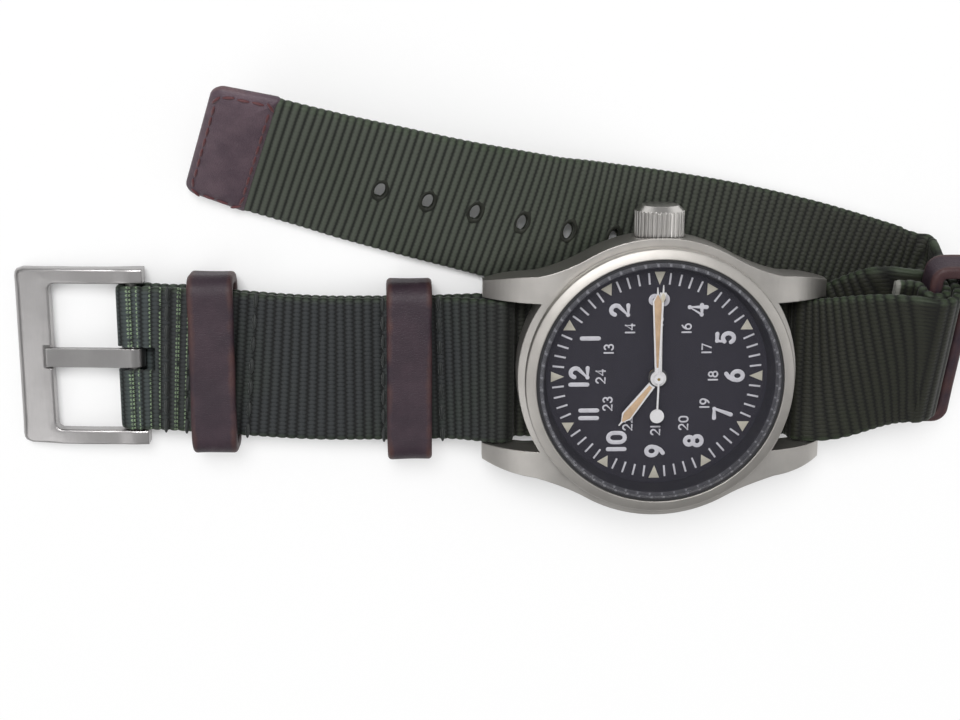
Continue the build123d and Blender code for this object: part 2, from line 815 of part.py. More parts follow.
# Train bridge: lower left part, reaching over the centre to the escape wheel
with BuildPart() as train_bridge:
    foot_top = bridge_split_low - bridge_split_gap
    with BuildSketch(Plane.XY.offset(at(bridge_low))):
        Circle(bridge_radius)
        with BuildLine():
            Polyline((-case_radius, foot_top), (bridge_split_left + bridge_split_gap, foot_top),
                     (bridge_split_left + bridge_split_gap, bridge_split_high - bridge_split_gap),
                     (train_bridge_right, bridge_split_high - bridge_split_gap),
                     (train_bridge_right, train_bridge_low),
                     (train_bridge_foot_right, train_bridge_low),
                     (train_bridge_foot_right, -case_radius), (-case_radius, -case_radius),
                     close=True)
        make_face(mode=Mode.INTERSECT)
    extrude(amount=bridge_thick)
    for place in train_bridge_posts:
        post_and_hole(place)
    for place in (centre, third_place, escape_place, fork_place):
        bore(place, jewel_radius, bridge_low, bridge_high)
finish_piece(train_bridge, "train_bridge")

with BuildPart() as balance_cock:
    with BuildSketch(Plane.XY.offset(at(bridge_low))):
        with Locations(cock_post):
            Circle(cock_post_round)
        with Locations(balance_place):
            Circle(cock_end_round)
        make_hull()
    extrude(amount=bridge_thick)
    post_and_hole(cock_post)
    bore(balance_place, jewel_radius, bridge_low, bridge_high)
finish_piece(balance_cock, "balance_cock")

# Jewels in the bridges, one for each pivot, and the bridge screws
with BuildPart() as jewels:
    for place in (great_place, centre, third_place, escape_place, fork_place, balance_place):
        with BuildSketch(Plane.XY.offset(at(bridge_low) + fit_gap)) as jewel:
            with Locations(place):
                Circle(jewel_radius - fit_gap / 5)
                Circle(pivot_radius + pivot_gap, mode=Mode.SUBTRACT)
        extrude(jewel.sketch, amount=bridge_thick - 2 * fit_gap)
finish_piece(jewels, "jewels")

with BuildPart() as movement_screws:
    for place in posts:
        shaft(place, screw_head_radius, bridge_low - screw_head_thick, bridge_low)
        shaft(place, screw_radius, bridge_low, pivot_deep - fit_gap)
    with BuildSketch(Plane.XY.offset(at(bridge_low - screw_head_thick))):
        with Locations(*posts):
            Rectangle(2 * screw_head_radius, screw_slot)
    extrude(amount=screw_head_thick / 2, mode=Mode.SUBTRACT)
finish_piece(movement_screws, "movement_screws")


def spiral_strip(place, turns, inner, pitch, wall, low, height):
    """Flat spiral spring of half circles about two centres a quarter pitch to each side."""
    with BuildSketch(Plane.XY.offset(at(low))) as plan:
        with BuildLine():
            edges = []
            for edge_shift in (-wall / 2, wall / 2):
                ends = [(place[0] + inner + edge_shift, place[1])]
                for half in range(2 * turns):
                    side = -1 if half % 2 == 0 else 1
                    reach = inner + edge_shift + pitch * (half + 1) / 2
                    ends.append((place[0] + side * reach, place[1]))
                edges.append(ends)
                for half in range(2 * turns):
                    start, end = ends[half], ends[half + 1]
                    middle = (start[0] + end[0]) / 2
                    swell = abs(end[0] - start[0]) / 2
                    lift = swell if half % 2 == 0 else -swell
                    ThreePointArc(start, (middle, place[1] + lift), end)
            Line(edges[0][0], edges[1][0])
            Line(edges[0][-1], edges[1][-1])
        make_face()
    extrude(plan.sketch, amount=height)


# Mainspring barrel: toothed floor, thin wall, and the spring coiled inside it
with BuildPart() as mainspring_barrel:
    gear_disc(barrel_place, barrel_teeth, barrel_module, heading(barrel_place, great_place),
              barrel_low, barrel_floor)
    shaft(barrel_place, barrel_radius, barrel_low, barrel_high)
    bore(barrel_place, barrel_radius - barrel_wall, barrel_low + barrel_floor, barrel_high)
    bore(barrel_place, barrel_pivot_radius + pivot_gap, barrel_low, barrel_high)
finish_piece(mainspring_barrel, "mainspring_barrel")

with BuildPart() as mainspring:
    spiral_strip(barrel_place, mainspring_turns, mainspring_inner, mainspring_pitch,
                 mainspring_wall, barrel_low + barrel_floor + fit_gap,
                 barrel_high - barrel_low - barrel_floor - 2 * fit_gap)
finish_piece(mainspring, "mainspring")

with BuildPart() as barrel_arbor:
    shaft(barrel_place, barrel_pivot_radius, winding_low, motion_floor + bridge_thick / 4)
    shaft(barrel_place, barrel_arbor_radius, barrel_low + barrel_floor + fit_gap,
          barrel_high - fit_gap)
finish_piece(barrel_arbor, "barrel_arbor")


def arbor(place, low=bridge_low + 2 * fit_gap, high=pivot_deep):
    """Thin arbor with its pivots in the bridge and the plate, added to a wheel."""
    shaft(place, pivot_radius, low, high)


with BuildPart() as centre_wheel:
    gear_disc(great_place, great_teeth, great_module, heading(great_place, third_place),
              great_low, wheel_thick)
    gear_disc(great_place, great_leaves, barrel_module,
              gap_phase(great_place, barrel_place, great_leaves), great_pinion_low,
              barrel_low + barrel_floor + fit_gap - great_pinion_low)
    arbor(great_place)
finish_piece(centre_wheel, "centre_wheel")

with BuildPart() as third_wheel:
    gear_disc(third_place, third_teeth, third_module, heading(third_place, centre),
              third_low, wheel_thick)
    gear_disc(third_place, third_leaves, great_module,
              gap_phase(third_place, great_place, third_leaves), third_pinion_low, pinion_thick)
    arbor(third_place)
finish_piece(third_wheel, "third_wheel")

with BuildPart() as fourth_wheel:
    gear_disc(centre, fourth_teeth, fourth_module, heading(centre, escape_place),
              fourth_low, wheel_thick)
    gear_disc(centre, fourth_leaves, third_module, gap_phase(centre, third_place, fourth_leaves),
              fourth_pinion_low, pinion_thick)
    arbor(centre, high=seconds_hand_height + hand_thick)
finish_piece(fourth_wheel, "fourth_wheel")

# Escape wheel: hooked teeth cut by the same outline rule, one leaf pinion
with BuildPart() as escape_wheel:
    with BuildSketch(Plane.XY.offset(at(escape_low))):
        with Locations(escape_place):
            Polygon(*[polar(escape_radius * (1 if corner == 0 else escape_root_share),
                            (tooth + corner / 3) * 360 / escape_teeth)
                      for tooth in range(escape_teeth) for corner in range(3)], align=None)
    extrude(amount=wheel_thick)
    gear_disc(escape_place, escape_leaves, fourth_module,
              gap_phase(escape_place, centre, escape_leaves), escape_pinion_low, pinion_thick)
    arbor(escape_place)
finish_piece(escape_wheel, "escape_wheel")

# Pallet fork: anchor bar with two stones towards the escape wheel, lever to the balance
fork_heading = heading(fork_place, balance_place)
with BuildPart() as pallet_fork:
    with BuildSketch(Plane.XY.offset(at(escape_low))) as fork_plan:
        with Locations(Location((fork_place[0], fork_place[1], 0), fork_heading)):
            Rectangle(fork_bar, 2 * fork_half)
            Rectangle(fork_lever, fork_bar, align=(Align.MIN, Align.CENTER))
            with Locations((0, fork_half - fork_stone / 2), (0, fork_stone / 2 - fork_half)):
                Rectangle(fork_stone_length, fork_stone, align=(Align.MAX, Align.CENTER))
    extrude(amount=wheel_thick)
    arbor(fork_place, high=balance_low - fit_gap)
finish_piece(pallet_fork, "pallet_fork")

with BuildPart() as balance_wheel:
    with BuildSketch(Plane.XY.offset(at(balance_low))):
        with Locations(balance_place):
            Circle(balance_radius)
            Circle(balance_radius - balance_rim, mode=Mode.SUBTRACT)
            Rectangle(2 * balance_radius - balance_rim, balance_spoke)
            Rectangle(balance_spoke, 2 * balance_radius - balance_rim)
    extrude(amount=balance_thick)
    shaft(balance_place, roller_radius, balance_low - wheel_thick, balance_low)
    arbor(balance_place)
finish_piece(balance_wheel, "balance_wheel")

with BuildPart() as hairspring:
    spiral_strip(balance_place, hairspring_turns, hairspring_inner, hairspring_pitch,
                 hairspring_wall, hairspring_low, hairspring_height)
finish_piece(hairspring, "hairspring")

# Winding: pinion on the stem's square, crown wheel, ratchet wheel and its click
with BuildPart() as winding_pinion:
    with BuildSketch(crown_plane(winding_pinion_start)):
        Polygon(*gear_points(winding_leaves, winding_module, 90), align=None)
        Rectangle(stem_square + 2 * fit_gap, stem_square + 2 * fit_gap, mode=Mode.SUBTRACT)
    extrude(amount=winding_pinion_length)
finish_piece(winding_pinion, "winding_pinion")

with BuildPart() as crown_wheel:
    gear_disc(crown_wheel_place, crown_wheel_teeth, winding_module,
              gap_phase(crown_wheel_place, barrel_place, crown_wheel_teeth),
              winding_low, winding_thick)
    shaft(crown_wheel_place, winding_module * (crown_wheel_teeth / 2 - 1), winding_low,
          crown_wheel_deep)
finish_piece(crown_wheel, "crown_wheel")

with BuildPart() as ratchet_wheel:
    gear_disc(barrel_place, ratchet_teeth, winding_module, heading(barrel_place, crown_wheel_place),
              winding_low, winding_thick)
    bore(barrel_place, barrel_pivot_radius, winding_low, winding_low + winding_thick)
finish_piece(ratchet_wheel, "ratchet_wheel")

# Click: pawl with its beak just clear of the ratchet teeth, on a pin in the bridge
with BuildPart() as click:
    with BuildSketch(Plane.XY.offset(at(winding_low))):
        with Locations(click_place):
            Circle(click_width / 2)
        with BuildLine():
            across = click_width / 2
            left = beside(click_place, click_direction + 30, across)
            right = beside(click_place, click_direction - 150, across)
            Polyline(left, click_tip, right, close=True)
        make_face()
    extrude(amount=winding_thick)
    shaft(click_place, pivot_radius, winding_low, bridge_low + bridge_thick / 2)
finish_piece(click, "click")


def arc_run(place, radius, start, end):
    """Points in side view round a centre, angles in degrees from +X, both ends included."""
    steps = max(2, round(abs(end - start) / arc_step_deg))
    return [(place[0] + radius * cos(radians(start + (end - start) * step / steps)),
             place[1] + radius * sin(radians(start + (end - start) * step / steps)))
            for step in range(steps + 1)]


def ease(share):
    """Smooth step from 0 to 1, held at both ends."""
    share = min(1, max(0, share))
    return share ** 2 * (3 - 2 * share)


def band_y(x):
    """Sideways drift of the left band: straight at the head, a few degrees off at the buckle."""
    if x > band_home_x:
        return band_low_y * ease((-bar_x - x) / (-bar_x - band_home_x))
    return buckle_y + (band_low_y - buckle_y) * ease((x - pin_x) / (band_level_x - pin_x))


def webbing(stations):
    """Strap through stations of x, y, z and roll. A section is parallel to the rolled Y axis,
    so where the strap runs askew the section is as much wider; its far end is cut square."""
    points = [Vector(*station[:3]) for station in stations]
    last = len(points) - 1
    with BuildPart() as strap:
        for index, point in enumerate(points):
            roll = radians(stations[index][3])
            along = (points[min(index + 1, last)] - points[max(index - 1, 0)]).normalized()
            across = Vector(0, cos(roll), sin(roll))
            if index == last:
                across = (across - along * along.dot(across)).normalized()
            lean = along.dot(across)
            with BuildSketch(Plane(origin=point, x_dir=across, z_dir=along - across * lean)):
                Rectangle(strap_width / (1 - lean ** 2) ** 0.5, strap_thick)
        loft(ruled=True)
    return strap


# Levels and centres that the strap's plies share at the buckle and the spring bars
half_ply = strap_thick / 2
fold_radius = pin_radius + fit_gap + half_ply
pin_z = long_z - fold_radius
bar_ply = bar_radius + fit_gap + half_ply
bar_12 = (-bar_x, at(bar_height))
bar_6 = (bar_x, at(bar_height))

# The turn: both plies run through the end keeper in its own rolled frame, heights from its foot
roll_sin = sin(radians(turn_roll))
roll_cos = cos(radians(turn_roll))
fold_start = half_ply + fold_round
keeper_foot = fold_start + strap_width / 2 * roll_sin + keeper_lift
inner_ply_x = turn_x - strap_thick - turn_gap
wall_radius = end_keeper_wall / 2 + fit_gap + half_ply
wall_x = inner_ply_x - wall_radius
wrap_low = (inner_ply_x - under_round, under_round - half_ply - fit_gap)
wrap_high = (wall_x, end_keeper_height - end_keeper_edge)


def rolled(x, height):
    """Station in the end keeper's frame: height is up its rolled axis from its foot."""
    return (x, turn_y - height * roll_sin, keeper_foot + height * roll_cos, turn_roll)


# Long strap, left half: fold round the pin, left band, over one bar and under the case back
fold_run = [(pin_x + fold_length * share_x, short_z * share_z
             + (pin_z - fold_radius) * (1 - share_z)) for share_x, share_z in fold_shares]
fold_run += arc_run((pin_x, pin_z), fold_radius, -90, -270)
rise_x = bar_12[0] + bar_ply * cos(radians(90 + rise_deg))
rise_z = bar_12[1] + bar_ply * sin(radians(90 + rise_deg))
bend_height = rise_radius * (1 - cos(radians(rise_deg)))
slope_run = (rise_z - long_z - bend_height) / sin(radians(rise_deg)) * cos(radians(rise_deg))
bend_x = rise_x - slope_run - rise_radius * sin(radians(rise_deg))
head_run = [(pin_x + (bend_x - pin_x) * step / level_steps, long_z)
            for step in range(1, level_steps)]
head_run += arc_run((bend_x, long_z + rise_radius), rise_radius, -90, rise_deg - 90)
head_run += arc_run(bar_12, bar_ply, 90 + rise_deg, 0)
head_run += arc_run((bar_12[0] + bar_ply + under_round, long_z + under_round),
                    under_round, 180, 270)
head_run += arc_run((bar_6[0] - bar_ply - under_round, long_z + under_round),
                    under_round, 270, 360)
head_run += arc_run(bar_6, bar_ply, 180, exit_deg)
long_stations = [(x, buckle_y, z, 0) for x, z in fold_run]
long_stations += [(x, band_y(x), z, 0) for x, z in head_run]

# Right half: up to the end keeper, down through it, and a slanting fold on to the table
turn_high = [rolled(*point) for point in arc_run(wrap_high, turn_x - wall_x, exit_deg, 0)]
leg_start, leg_end = long_stations[-1], turn_high[0]
for step in range(1, leg_steps):
    share = step / leg_steps
    long_stations.append((leg_start[0] + (leg_end[0] - leg_start[0]) * share,
                          leg_end[1] * ease(share),
                          leg_start[2] + (leg_end[2] - leg_start[2]) * share,
                          turn_roll * ease(share)))
long_stations += turn_high
long_stations.append(rolled(turn_x, 0))
fold_y = rolled(turn_x, (fold_start - keeper_foot) / roll_cos)[1]
for x, z in arc_run((turn_x - fold_round, fold_start), fold_round, 0, -90):
    swept = fold_round * radians(90) if z <= half_ply else fold_round * acos(
        min(1, (x - turn_x + fold_round) / fold_round))
    long_stations.append((x, fold_y + swept * roll_sin / roll_cos, z, 0))


def return_station(share_x, share_y, share_roll):
    """Station of the run back: its lower edge lies on the table, its crown-side edge is raised."""
    roll = return_roll * share_roll
    tip_lift = (tip_wall + tip_side) * ease(-share_x / tip_lift_share)
    lift = strap_width / 2 * sin(radians(roll)) + half_ply * cos(radians(roll)) + tip_lift
    return (return_reach * share_x, return_drift * share_y, lift, roll)


return_stations = [return_station(*shares) for shares in return_shares]
long_stations += return_stations


def return_plane(distance):
    """Plane flat on the run back at a distance from the tip: x across it, y inwards along it."""
    points = [Vector(*station[:3]) for station in reversed(return_stations)]
    rolls = [station[3] for station in reversed(return_stations)]
    index = 0
    while distance > (points[index + 1] - points[index]).length:
        distance -= (points[index + 1] - points[index]).length
        index += 1
    step = points[index + 1] - points[index]
    share = distance / step.length
    roll = radians(rolls[index] + (rolls[index + 1] - rolls[index]) * share)
    along = step.normalized()
    normal = Vector(0, cos(roll), sin(roll)).cross(along).normalized()
    return Plane(origin=points[index] + step * share, x_dir=along.cross(normal), z_dir=normal)


# Long strap: webbing with seven oval holes, a slot for the tongue and a rounded end
webbing_long = webbing(long_stations)
with BuildPart() as long_strap:
    add(webbing_long.part)
    for hole in range(hole_count):
        with BuildSketch(return_plane(hole_first + hole * hole_pitch)):
            SlotOverall(hole_length, hole_width)
        extrude(amount=strap_thick, both=True, mode=Mode.SUBTRACT)
    with BuildSketch(Plane.XY):
        with Locations((pin_x + tongue_slot_right, buckle_y)):
            Rectangle(strap_width / 2, tongue_slot, align=(Align.MAX, Align.CENTER))
    extrude(amount=long_z + strap_thick, mode=Mode.SUBTRACT)
    with BuildSketch(return_plane(0)):
        with Locations((0, tip_inner_round)):
            Rectangle(strap_width + 2 * cut_over, tip_inner_round + cut_over,
                      align=(Align.CENTER, Align.MAX))
        RectangleRounded(strap_width, strap_width, tip_inner_round,
                         align=(Align.CENTER, Align.MIN), mode=Mode.SUBTRACT)
    extrude(amount=strap_thick, both=True, mode=Mode.SUBTRACT)
finish_piece(long_strap, "long_strap")

# Short strap: from the fold, under the head, round the end keeper's inner wall and sewn back
short_x = pin_x + fold_length + turn_gap
wrap_run = arc_run(wrap_low, under_round, -90, 0) + arc_run(wrap_high, wall_radius, 0, 180)
tail_x = wall_x - wall_radius - tail_round
wrap_run += arc_run((tail_x, wrap_low[1] + tail_height), tail_round, 0, -90)
wrap_run.append((tail_x - tail_length, wrap_low[1] + tail_height - tail_round))
foot_station = rolled(wall_x - end_keeper_wall / 2 - turn_gap, wrap_run[0][1])
short_stations = []
for step in range(short_steps):
    x = short_x + (short_level_x - short_x) * step / short_steps
    short_stations.append((x, band_y(x), short_z, 0))
for step in range(rising_steps):
    share = step / rising_steps
    rise = ease(share)
    short_stations.append((short_level_x + (foot_station[0] - short_level_x) * share,
                           foot_station[1] * rise, short_z + (foot_station[2] - short_z) * rise,
                           turn_roll * rise))
short_stations.append(foot_station)
short_stations += [rolled(*point) for point in wrap_run]
short_strap = webbing(short_stations)
finish_piece(short_strap, "short_strap")

# Leather cap sewn over the end of the long strap
with BuildPart() as strap_tip:
    with BuildSketch(return_plane(0)):
        with Locations((0, -tip_wall)):
            RectangleRounded(strap_width + 2 * tip_side, tip_length + tip_round, tip_round,
                             align=(Align.CENTER, Align.MIN))
        with Locations((0, tip_length)):
            Rectangle(strap_width + 2 * cut_over, 2 * tip_round, mode=Mode.SUBTRACT,
                      align=(Align.CENTER, Align.MIN))
    extrude(amount=half_ply + tip_wall, both=True)
    with BuildSketch(return_plane(0)):
        with Locations((0, -fit_gap)):
            RectangleRounded(strap_width + 2 * fit_gap, strap_width, tip_inner_round,
                             align=(Align.CENTER, Align.MIN))
    extrude(amount=half_ply + fit_gap, both=True, mode=Mode.SUBTRACT)
finish_piece(strap_tip, "strap_tip")


def keeper(x):
    """Leather loop round both plies at a place along the left band, with room for the tip."""
    height = long_z + half_ply + keeper_spare + keeper_wall
    with BuildPart() as loop:
        with BuildSketch(Plane(origin=(x, band_y(x), height / 2), x_dir=(0, 1, 0),
                               z_dir=(1, 0, 0))) as plan:
            RectangleRounded(keeper_span, height, keeper_round)
            RectangleRounded(keeper_span - 2 * keeper_wall, height - 2 * keeper_wall,
                             keeper_round / 2, mode=Mode.SUBTRACT)
        extrude(plan.sketch, amount=keeper_width / 2, both=True)
        sides = loop.faces().filter_by(Axis.X)
        chamfer([edge for side in sides for edge in side.outer_wire().edges()], keeper_edge)
    return loop


keeper_1 = keeper(keeper_1_x)
finish_piece(keeper_1, "keeper_1")
keeper_2 = keeper(keeper_2_x)
finish_piece(keeper_2, "keeper_2")

# End keeper: loop stood on edge round both plies, its inner wall held by the short strap
wall_low_x = wall_x - end_keeper_wall / 2
wall_high_x = turn_x + half_ply + turn_gap + end_keeper_wall
keeper_place = rolled((wall_low_x + wall_high_x) / 2, end_keeper_height / 2)
with BuildPart() as keeper_end:
    keeper_plane = Plane(origin=(keeper_place[0], keeper_place[1] + end_keeper_shift * roll_cos,
                                 keeper_place[2] + end_keeper_shift * roll_sin),
                         x_dir=(1, 0, 0), z_dir=(0, -roll_sin, roll_cos))
    with BuildSketch(keeper_plane):
        RectangleRounded(wall_high_x - wall_low_x, end_keeper_span, end_keeper_round)
        RectangleRounded(wall_high_x - wall_low_x - 2 * end_keeper_wall,
                         end_keeper_span - 2 * end_keeper_wall, end_keeper_inner_round,
                         mode=Mode.SUBTRACT)
    extrude(amount=end_keeper_height / 2, both=True)
    rims = keeper_end.faces().filter_by(keeper_plane)
    fillet(rims.edges(), end_keeper_edge)
finish_piece(keeper_end, "keeper_end")

# Buckle frame: bowed in side view, rounded in plan, open to the strap between its two arms
buckle_half = buckle_inner / 2 + buckle_arm
half_thick = buckle_thick / 2
with BuildPart() as buckle_frame:
    with BuildSketch(Plane.XZ.offset(-buckle_y)):
        with BuildLine():
            nose_x = buckle_left + half_thick
            mid = ((buckle_left + pin_x) / 2, (half_thick + pin_z) / 2 + buckle_bow)
            top = ThreePointArc((pin_x, pin_z + half_thick), (mid[0], mid[1] + half_thick),
                                (nose_x, buckle_thick))
            nose = ThreePointArc(top @ 1, (buckle_left, half_thick), (nose_x, 0))
            under = ThreePointArc(nose @ 1, (mid[0], mid[1] - half_thick),
                                  (pin_x, pin_z - half_thick))
            Line(under @ 1, top @ 0)
        make_face()
        with Locations((pin_x, pin_z)):
            Circle(buckle_eye)
    extrude(amount=buckle_half, both=True)
    with BuildSketch(Plane.XY):
        with Locations((buckle_left, buckle_y)):
            RectangleRounded(2 * (pin_x - buckle_left), 2 * buckle_half, buckle_corner,
                             align=(Align.MIN, Align.CENTER))
    extrude(amount=long_z + strap_thick, mode=Mode.INTERSECT)
    with BuildSketch(Plane.XY):
        with Locations((buckle_left + buckle_bar, buckle_y)):
            RectangleRounded(2 * (pin_x - buckle_left), buckle_inner, buckle_inner_corner,
                             align=(Align.MIN, Align.CENTER))
    extrude(amount=long_z + strap_thick, mode=Mode.SUBTRACT)
    with BuildSketch(Plane.XY.offset(buckle_thick)):
        with Locations((buckle_left + buckle_bar - notch_reach, buckle_y)):
            Rectangle(buckle_bar, tongue_width + 2 * notch_side, align=(Align.MIN, Align.CENTER))
    extrude(amount=buckle_thick, mode=Mode.SUBTRACT)
    with BuildSketch(Plane.XZ.offset(-buckle_y)):
        with Locations((pin_x, pin_z)):
            Circle(pin_radius + fit_gap)
    extrude(amount=buckle_half, both=True, mode=Mode.SUBTRACT)
finish_piece(buckle_frame, "buckle_frame")

with BuildPart() as buckle_pin:
    with BuildSketch(Plane.XZ.offset(-buckle_y)):
        with Locations((pin_x, pin_z)):
            Circle(pin_radius)
    extrude(amount=buckle_half - fit_gap, both=True)
    chamfer(buckle_pin.edges().filter_by(GeomType.CIRCLE), pin_radius / 4)
finish_piece(buckle_pin, "buckle_pin")

# Tongue: flat steel strip rolled round the pin, its point resting in the frame's notch
with BuildPart() as buckle_tongue:
    with BuildSketch(Plane.XZ.offset(-buckle_y)):
        with BuildLine():
            tongue_top = pin_z + tongue_eye
            tongue_low = buckle_thick + fit_gap
            point_x = pin_x - tongue_reach
            upper = ThreePointArc((pin_x, tongue_top),
                                  ((pin_x + point_x) / 2,
                                   (tongue_top + tongue_low + tongue_thick) / 2 - tongue_dip),
                                  (point_x, tongue_low + tongue_thick))
            point = ThreePointArc(upper @ 1, (point_x - tongue_thick / 2,
                                              tongue_low + tongue_thick / 2),
                                  (point_x, tongue_low))
            lower = ThreePointArc(point @ 1,
                                  ((pin_x + point_x) / 2,
                                   (tongue_top + tongue_low - tongue_thick) / 2 - tongue_dip),
                                  (pin_x, tongue_top - tongue_thick))
            Line(lower @ 1, upper @ 0)
        make_face()
        with Locations((pin_x, pin_z)):
            Circle(tongue_eye)
            Circle(pin_radius + fit_gap, mode=Mode.SUBTRACT)
    extrude(amount=tongue_width / 2, both=True)
finish_piece(buckle_tongue, "buckle_tongue")
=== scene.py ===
"""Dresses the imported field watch: steel, ribbed webbing, leather, stitching, dial print and hands.

Sizes are in millimetres and become metres where a mesh is made; sizes inside a finish are metres.
+X runs to 6 o'clock, +Y to the crown and +Z out of the dial, with the origin on the table under
the centre of the head.
"""

from __future__ import annotations

import functools
import json
import logging
import math
from bisect import bisect_right
from collections import Counter
from collections.abc import Iterable, Iterator, Sequence
from contextlib import contextmanager
from dataclasses import dataclass, field
from enum import Enum

import bmesh
import bpy
from mathutils import Matrix, Quaternion, Vector, noise

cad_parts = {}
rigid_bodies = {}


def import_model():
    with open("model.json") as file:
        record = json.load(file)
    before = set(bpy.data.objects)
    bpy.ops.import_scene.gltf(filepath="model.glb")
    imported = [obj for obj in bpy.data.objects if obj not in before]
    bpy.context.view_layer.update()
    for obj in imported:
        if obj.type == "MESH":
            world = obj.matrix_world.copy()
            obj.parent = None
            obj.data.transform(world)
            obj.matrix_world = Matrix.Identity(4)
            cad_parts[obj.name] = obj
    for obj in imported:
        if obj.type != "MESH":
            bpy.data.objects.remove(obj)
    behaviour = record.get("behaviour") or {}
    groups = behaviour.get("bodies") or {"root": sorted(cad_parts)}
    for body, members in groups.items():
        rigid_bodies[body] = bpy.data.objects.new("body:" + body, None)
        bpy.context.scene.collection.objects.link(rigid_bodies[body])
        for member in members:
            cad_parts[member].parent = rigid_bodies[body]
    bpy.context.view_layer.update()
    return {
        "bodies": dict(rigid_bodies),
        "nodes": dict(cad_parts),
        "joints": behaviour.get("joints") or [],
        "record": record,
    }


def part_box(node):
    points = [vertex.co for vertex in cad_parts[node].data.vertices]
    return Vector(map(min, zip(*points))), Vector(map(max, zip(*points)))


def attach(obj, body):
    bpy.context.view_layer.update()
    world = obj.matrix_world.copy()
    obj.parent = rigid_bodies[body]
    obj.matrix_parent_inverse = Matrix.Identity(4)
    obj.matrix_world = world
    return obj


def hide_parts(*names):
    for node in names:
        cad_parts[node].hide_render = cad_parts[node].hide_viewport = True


LOG = logging.getLogger("field_watch")
MM = 0.001
NOISE_SEED = 7

Colour = tuple[float, float, float]
Plan = tuple[float, float]
Station = tuple[float, float, float, float]
Face = tuple[int, ...]

# Corners of a rounded rectangle: the sign on each axis, and the first angle of the bend.
CORNERS = ((1, 1, 0), (-1, 1, 90), (-1, -1, 180), (1, -1, 270))
# Stretch of a pattern by axis: even, or drawn out along +Y as brushing is.
EVEN: Colour = (1.0, 1.0, 1.0)
BRUSHED: Colour = (1.0, 0.08, 1.0)
WHITE: Colour = (1.0, 1.0, 1.0)


class Body(Enum):
    """Bodies of the frame that dressed pieces ride on."""

    HEAD = "root"
    HOUR = "hour"
    MINUTE = "minute"
    SECONDS = "seconds"
    BUCKLE = "buckle"


class Slot(Enum):
    """Material slots of the frame, named by dressed pieces as they are kept."""

    STEEL = "blasted_steel"
    SATIN = "satin_steel"
    PAINT = "hand_white"
    LEATHER = "brown_leather"
    WEBBING = "green_webbing"


class Wire:
    """A node's output, whose arithmetic adds Math nodes to its graph."""

    def __init__(self, graph: Graph, socket: bpy.types.NodeSocket | None) -> None:
        """Keeps the graph and the socket."""
        self.graph = graph
        self.socket = socket

    def other(self, output: str) -> Wire:
        """Another output of the same node."""
        return Wire(self.graph, Graph.find(self.socket.node.outputs, output))

    def _math(self, operation: str, *values: Wire | float) -> Wire:
        """Adds one Math node fed by these values."""
        return self.graph.node("ShaderNodeMath", {"operation": operation}, dict(enumerate(values)))

    def __add__(self, other: Wire | float) -> Wire:
        """Sum."""
        return self._math("ADD", self, other)

    __radd__ = __add__

    def __sub__(self, other: Wire | float) -> Wire:
        """Difference."""
        return self._math("SUBTRACT", self, other)

    def __rsub__(self, other: float) -> Wire:
        """Difference from a number."""
        return self._math("SUBTRACT", other, self)

    def __mul__(self, other: Wire | float) -> Wire:
        """Product."""
        return self._math("MULTIPLY", self, other)

    __rmul__ = __mul__

    def __pow__(self, other: Wire | float) -> Wire:
        """Power."""
        return self._math("POWER", self, other)

    def __mod__(self, other: Wire | float) -> Wire:
        """Remainder of a division."""
        return self._math("MODULO", self, other)

    def __abs__(self) -> Wire:
        """Size without sign."""
        return self._math("ABSOLUTE", self)

    def floor(self) -> Wire:
        """Whole part."""
        return self._math("FLOOR", self)

    def sine(self) -> Wire:
        """Sine of an angle in radians."""
        return self._math("SINE", self)

    def angle(self, along: Wire) -> Wire:
        """Angle of the point that this value across and another along give."""
        return self._math("ARCTAN2", self, along)

    def smaller(self, other: Wire | float) -> Wire:
        """The smaller of two values."""
        return self._math("MINIMUM", self, other)

    def larger(self, other: Wire | float) -> Wire:
        """The larger of two values."""
        return self._math("MAXIMUM", self, other)


